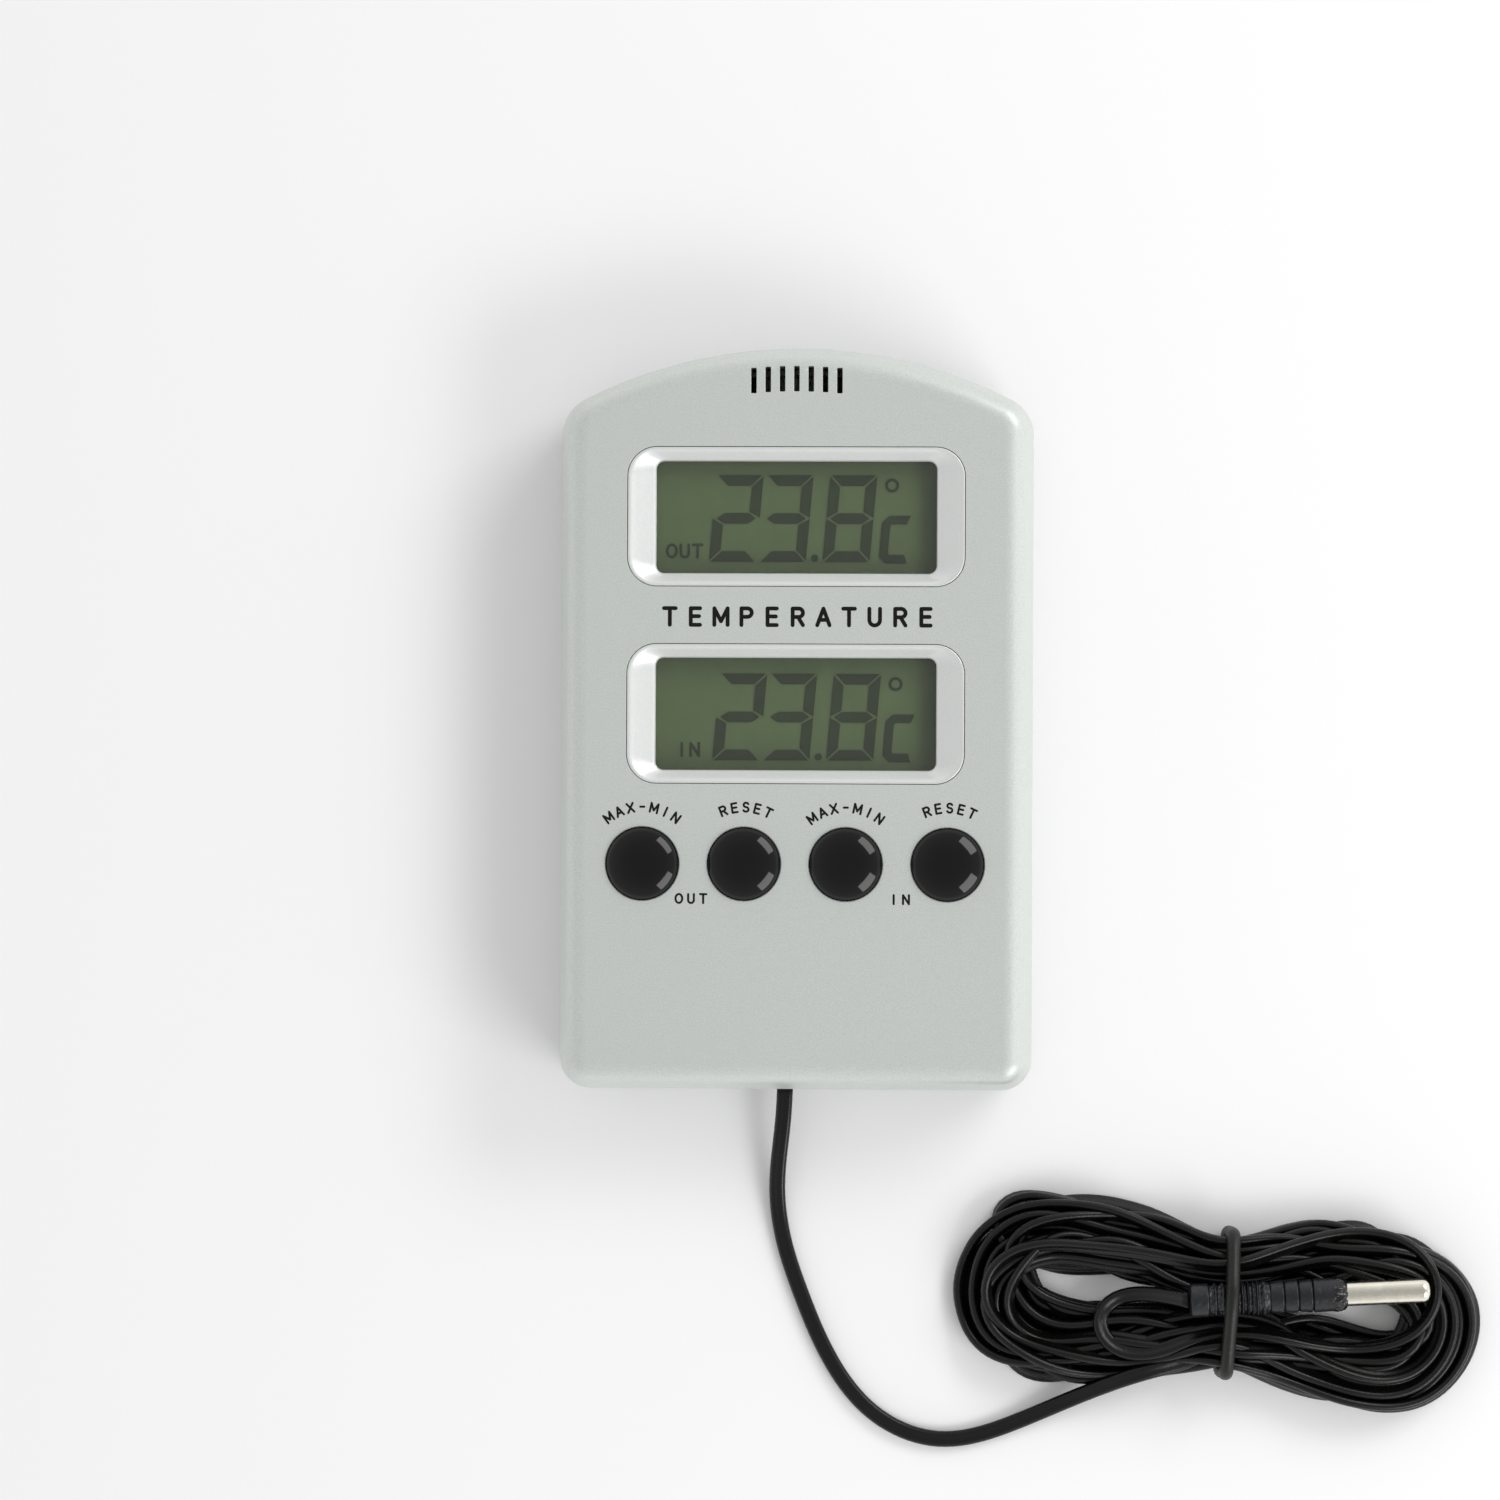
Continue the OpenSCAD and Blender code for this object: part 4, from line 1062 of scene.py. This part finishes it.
def make_materials():
    """One material for each slot of the record, and two for the display's dark parts and the printing."""
    return {
        "case_silver": silver_paint("case_silver", (0.625, 0.66, 0.63), 0.42, 0.08),
        "bezel_silver": silver_paint("bezel_silver", (0.75, 0.77, 0.755), 0.36, 0.03),
        "back_plastic": plastic("back_plastic", (0.4, 0.42, 0.405), 0.5, 2.2, 0.03, 0.05),
        "window_clear": clear_window("window_clear"),
        "lcd_glass": plastic("lcd_glass", (0.078, 0.108, 0.045), 0.45, 1, 0, 0.05, Specular_IOR_Level=0.2),
        "holder_white": plastic("holder_white", (0.75, 0.75, 0.7), 0.5),
        "elastomer": plastic("elastomer", (0.1, 0.1, 0.11), 0.6, 8, 0.01, 0.4),
        "board_green": plastic("board_green", (0.03, 0.17, 0.06), 0.35, 1.5, 0.01, 0.25),
        "epoxy_black": plastic("epoxy_black", (0.01, 0.01, 0.011), 0.2),
        "component": plastic("component", (0.06, 0.06, 0.09), 0.4, 1, 0.01, 0.5),
        "steel": metal("steel", (0.56, 0.56, 0.57), 0.32),
        "button_black": plastic("button_black", (0.0025, 0.0025, 0.003), 0.06, 0.5, 0, 0.2,
                                Specular_IOR_Level=0.3),
        "switch_dark": plastic("switch_dark", (0.04, 0.04, 0.045), 0.5),
        "sensor_bead": plastic("sensor_bead", (0.012, 0.012, 0.014), 0.25),
        "battery_skin": plastic("battery_skin", (0.04, 0.07, 0.12), 0.3, 0.4, 0, 0.3),
        "contact_metal": metal("contact_metal", (0.7, 0.69, 0.66), 0.25),
        "wire_pvc": plastic("wire_pvc", (0.3, 0.02, 0.02), 0.35),
        "lead_black": plastic("lead_black", (0.0025, 0.0025, 0.0022), 0.3, 2.5, 0.01, 0.2,
                              Specular_IOR_Level=0.36),
        "tie_black": plastic("tie_black", (0.006, 0.006, 0.005), 0.42, 2.5, 0.02, 0.2,
                             Specular_IOR_Level=0.4),
        "sleeve_black": plastic("sleeve_black", (0.006, 0.0068, 0.009), 0.36, 2, 0.05, 0.25),
        "glue_black": plastic("glue_black", (0.005, 0.005, 0.006), 0.16, 1.4, 0.12, 0.25),
        "tip_metal": metal("tip_metal", (0.8, 0.765, 0.66), 0.2, (0.3, 6, 6)),
        "segments": plastic("segments", (0.014, 0.024, 0.006), 0.45, 1, 0, 0.05, Specular_IOR_Level=0.2),
        "ink": plastic("ink", (0.004, 0.004, 0.004), 0.5, 2, 0, 0.2, Specular_IOR_Level=0.2),
    }


def dress(materials, own):
    """Gives every CAD node its slot's material, and every new piece its own: (piece, material's name)."""
    slot_of = {s["node"]: s["material_slot"] for s in frame["record"]["subparts"]}
    for node, piece in frame["nodes"].items():
        material = materials[slot_of[node]]
        if not piece.material_slots:
            piece.data.materials.append(material)
        for slot in piece.material_slots:
            slot.material = material
    for piece, name in own:
        piece.data.materials.clear()
        piece.data.materials.append(materials[name])


# ---------------------------------------------------------------- light and floor

SKY_TOP, SKY_EDGE = 0.45, 0.8
# The two window panes, in metres and watts: how far off, how high and how far round to each side
PANE_AWAY, PANE_UP, PANE_ROUND = 0.82, 0.57, 41
PANE_W, PANE_H, PANE_POWER = 0.55, 0.33, 2.9
# The floor is a hair under the part, so the two don't share a plane
FLOOR_DROP, FLOOR_HALF = 0.02, 3000


def make_pane(name, angle):
    """A soft pane of light, angle degrees round from +X, that faces the middle of the table."""
    turned = math.radians(angle)
    place = Vector((PANE_AWAY * math.cos(turned), PANE_AWAY * math.sin(turned), PANE_UP))
    data = bpy.data.lights.new(name, "AREA")
    data.shape = "RECTANGLE"
    data.size = PANE_W
    data.size_y = PANE_H
    data.energy = PANE_POWER
    light = bpy.data.objects.new(name, data)
    light.location = place
    light.rotation_euler = (-place).to_track_quat("-Z", "Y").to_euler()
    bpy.context.collection.objects.link(light)


def make_sky():
    """A ceiling that brightens towards the horizon: SKY_TOP + SKY_EDGE * (1 - height)**1.5."""
    world = bpy.data.worlds.new("studio")
    world.use_nodes = True
    tree = world.node_tree
    value = tree.nodes.new("ShaderNodeSeparateXYZ").outputs["Z"]
    tree.links.new(tree.nodes.new("ShaderNodeTexCoord").outputs["Generated"], value.node.inputs[0])
    # Each step is an operation, the input that its number goes to, and the number
    steps = (("MAXIMUM", 1, 0), ("SUBTRACT", 0, 1), ("POWER", 1, 1.5), ("MULTIPLY", 1, SKY_EDGE),
             ("ADD", 1, SKY_TOP))
    for operation, place, number in steps:
        node = tree.nodes.new("ShaderNodeMath")
        node.operation = operation
        node.inputs[place].default_value = number
        tree.links.new(value, node.inputs[1 - place])
        value = node.outputs[0]
    tree.links.new(value, tree.nodes["Background"].inputs["Strength"])
    tree.nodes["Background"].inputs["Color"].default_value = (1, 1, 1, 1)
    bpy.context.scene.world = world


def make_stage():
    """A plain white table and soft studio light, with two window panes at the upper and lower right."""
    far, z = FLOOR_HALF, -FLOOR_DROP
    square = [(-far, -far, z), (far, -far, z), (far, far, z), (-far, far, z)]
    floor = add_mesh("floor", square, [(0, 1, 2, 3)])
    floor.data.materials.append(Shader("table_white", (0.98, 0.98, 0.98), 0.6).material)
    make_sky()
    make_pane("upper_pane_light", PANE_ROUND)
    make_pane("lower_pane_light", -PANE_ROUND)
    bpy.context.scene.view_settings.view_transform = "Standard"
    bpy.context.scene.view_settings.exposure = 0.05


# ---------------------------------------------------------------- the whole

make_camera()
sleeve, glue, tip = make_sensor()
line = cord_line()
tie = make_tie(line)
cord = make_cord(line)
front = make_front()
own = [(cord, "lead_black"), (front, "case_silver")]
# The lower reading stands a little to the right of the upper one, and lower in its window
for name, y, dx, dy, word in (("upper", UPPER_Y, 0, 0, "OUT"), ("lower", LOWER_Y, 0.65, -0.35, "IN")):
    own.append((make_bezel(name, y), "bezel_silver"))
    own.append((make_window(name, y), "window_clear"))
    panel, reading = make_display(name, y, dx, dy, word)
    own += [(panel, "lcd_glass"), (reading, "segments")]
own += [(make_button(i), "button_black") for i in range(len(BUTTONS))]
own.append((make_legends(), "ink"))
own += [(sleeve, "sleeve_black"), (glue, "glue_black"), (tip, "tip_metal"), (tie, "tie_black")]
dress(make_materials(), own)
make_stage()
